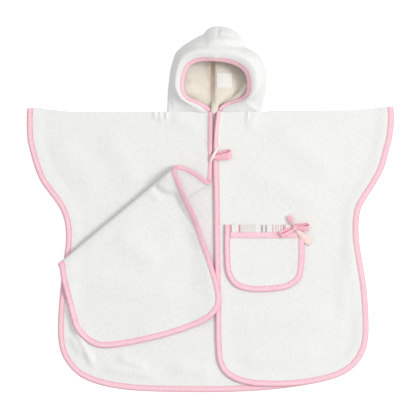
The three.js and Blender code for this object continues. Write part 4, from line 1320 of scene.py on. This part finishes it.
HOOD_MIDDLE = Vector((8, 215, 14)) * MM


def finish_hood(piece):
    """White outside, and inside, on one of the wall's two skins, a darker and warmer copy of the terry that
    paints the shade inside the hood.
    """
    finish_with(HOOD_WHITE, piece)
    piece.data.materials.append(HOOD_INSIDE_PAINTED_SHADE)
    polygons = piece.data.polygons
    skin = HOOD_FACES
    towards = sum((HOOD_MIDDLE - polygon.center).dot(polygon.normal) for polygon in polygons[:skin])
    first = 0 if towards > 0 else skin
    for polygon in polygons[first:first + skin]:
        polygon.material_index = 1


finish_hood(hood)

# What each piece stands for
REPLACED = [
    (back, "back_panel", "terry"), (back_edge, "back_binding", "pink_binding"),
    (left_front, "left_front_panel", "terry"), (left_edge, "left_front_binding", "pink_binding"),
    (right_front, "right_front_panel", "terry"), (right_edge, "right_front_binding", "pink_binding"),
    (hood_edge, "hood_binding", "pink_binding"), (pocket, "pocket_panel", "terry"),
    (pocket_edge, "pocket_binding", "pink_binding"), (stripes, "pocket_stripes", "printed_tape"),
    (strip, "pocket_strip", "pink_binding"), (label, "label", "label_satin"),
    (pocket_bow, "pocket_bow", "pink_ribbon"), (neck_tie, "neck_tie", "pink_ribbon"),
]
for piece, node, slot_name in REPLACED:
    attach(piece, "root")
    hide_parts(node)
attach(hood, "root")
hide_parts("hood_left", "hood_right")
ADDED = [
    (back_seam, "pink_binding"), (left_seam, "pink_binding"), (right_seam, "pink_binding"),
    (hood_seam, "pink_binding"), (pocket_seam, "pink_binding"), (bow_tail, "pink_ribbon"),
    (tie_tail, "pink_ribbon"), (neck_fold, "hood_terry"),
]
for piece, slot_name in ADDED:
    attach(piece, "root")

# The floor, the light and the camera
FLOOR_SIZE = 6.0
FLOOR_GREY = 0.62
FLOOR_GLOW = 0.62
FLOOR_DROP = 0.0004
bpy.ops.mesh.primitive_plane_add(size=FLOOR_SIZE, location=(0, 0, -FLOOR_DROP))
floor = bpy.context.object
floor.name = "floor"
bpy.ops.object.transform_apply(location=True, rotation=True, scale=True)
floor_material = bpy.data.materials.new("white backdrop")
floor_material.use_nodes = True
floor_shader = floor_material.node_tree.nodes["Principled BSDF"]
floor_shader.inputs["Base Color"].default_value = (FLOOR_GREY, FLOOR_GREY, FLOOR_GREY, 1)
floor_shader.inputs["Emission Color"].default_value = (1, 1, 1, 1)
seen = add_node(floor_material.node_tree, "ShaderNodeLightPath")
glow = math_node(floor_material.node_tree, "MULTIPLY", seen.outputs["Is Camera Ray"], FLOOR_GLOW)
floor_material.node_tree.links.new(glow, floor_shader.inputs["Emission Strength"])
floor_shader.inputs["Roughness"].default_value = 1.0
finish_with(floor_material, floor)


# Each light, turned to the middle of the poncho: its place and size in metres, and its power in watts
LIGHTS = {"key": ((3.6, 0.5, 3.6), 1.7, 132), "fill": ((-1.4, 2.6, 4.2), 2.4, 20)}
STUDIO_LIGHT = 0.70


def area_light(name, location, size, power):
    data = bpy.data.lights.new(name, "AREA")
    data.energy = power
    data.size = size
    light = bpy.data.objects.new(name, data)
    light.location = location
    light.rotation_mode = "QUATERNION"
    light.rotation_quaternion = (-Vector(location)).to_track_quat("-Z", "Y")
    bpy.context.scene.collection.objects.link(light)


for name, (location, size, power) in LIGHTS.items():
    area_light(name, location, size, power)

bpy.context.scene.view_settings.view_transform = "Standard"
world = bpy.data.worlds.new("studio")
bpy.context.scene.world = world
world.use_nodes = True
world.node_tree.nodes["Background"].inputs["Color"].default_value = (1, 1, 1, 1)
world.node_tree.nodes["Background"].inputs["Strength"].default_value = STUDIO_LIGHT

PIXEL = 1.65 * MM
IMAGE_WIDTH = 420
CAMERA_HEIGHT = 6.0
SENSOR = 36.0
VIEW_CENTRE = (-0.66 * MM, -0.8 * MM)
camera_data = bpy.data.cameras.new("camera")
camera_data.sensor_width = SENSOR
camera_data.lens = SENSOR * CAMERA_HEIGHT / (PIXEL * IMAGE_WIDTH)
camera_data.clip_end = 50
camera = bpy.data.objects.new("camera", camera_data)
camera.location = (*VIEW_CENTRE, CAMERA_HEIGHT)
bpy.context.scene.collection.objects.link(camera)
bpy.context.scene.camera = camera
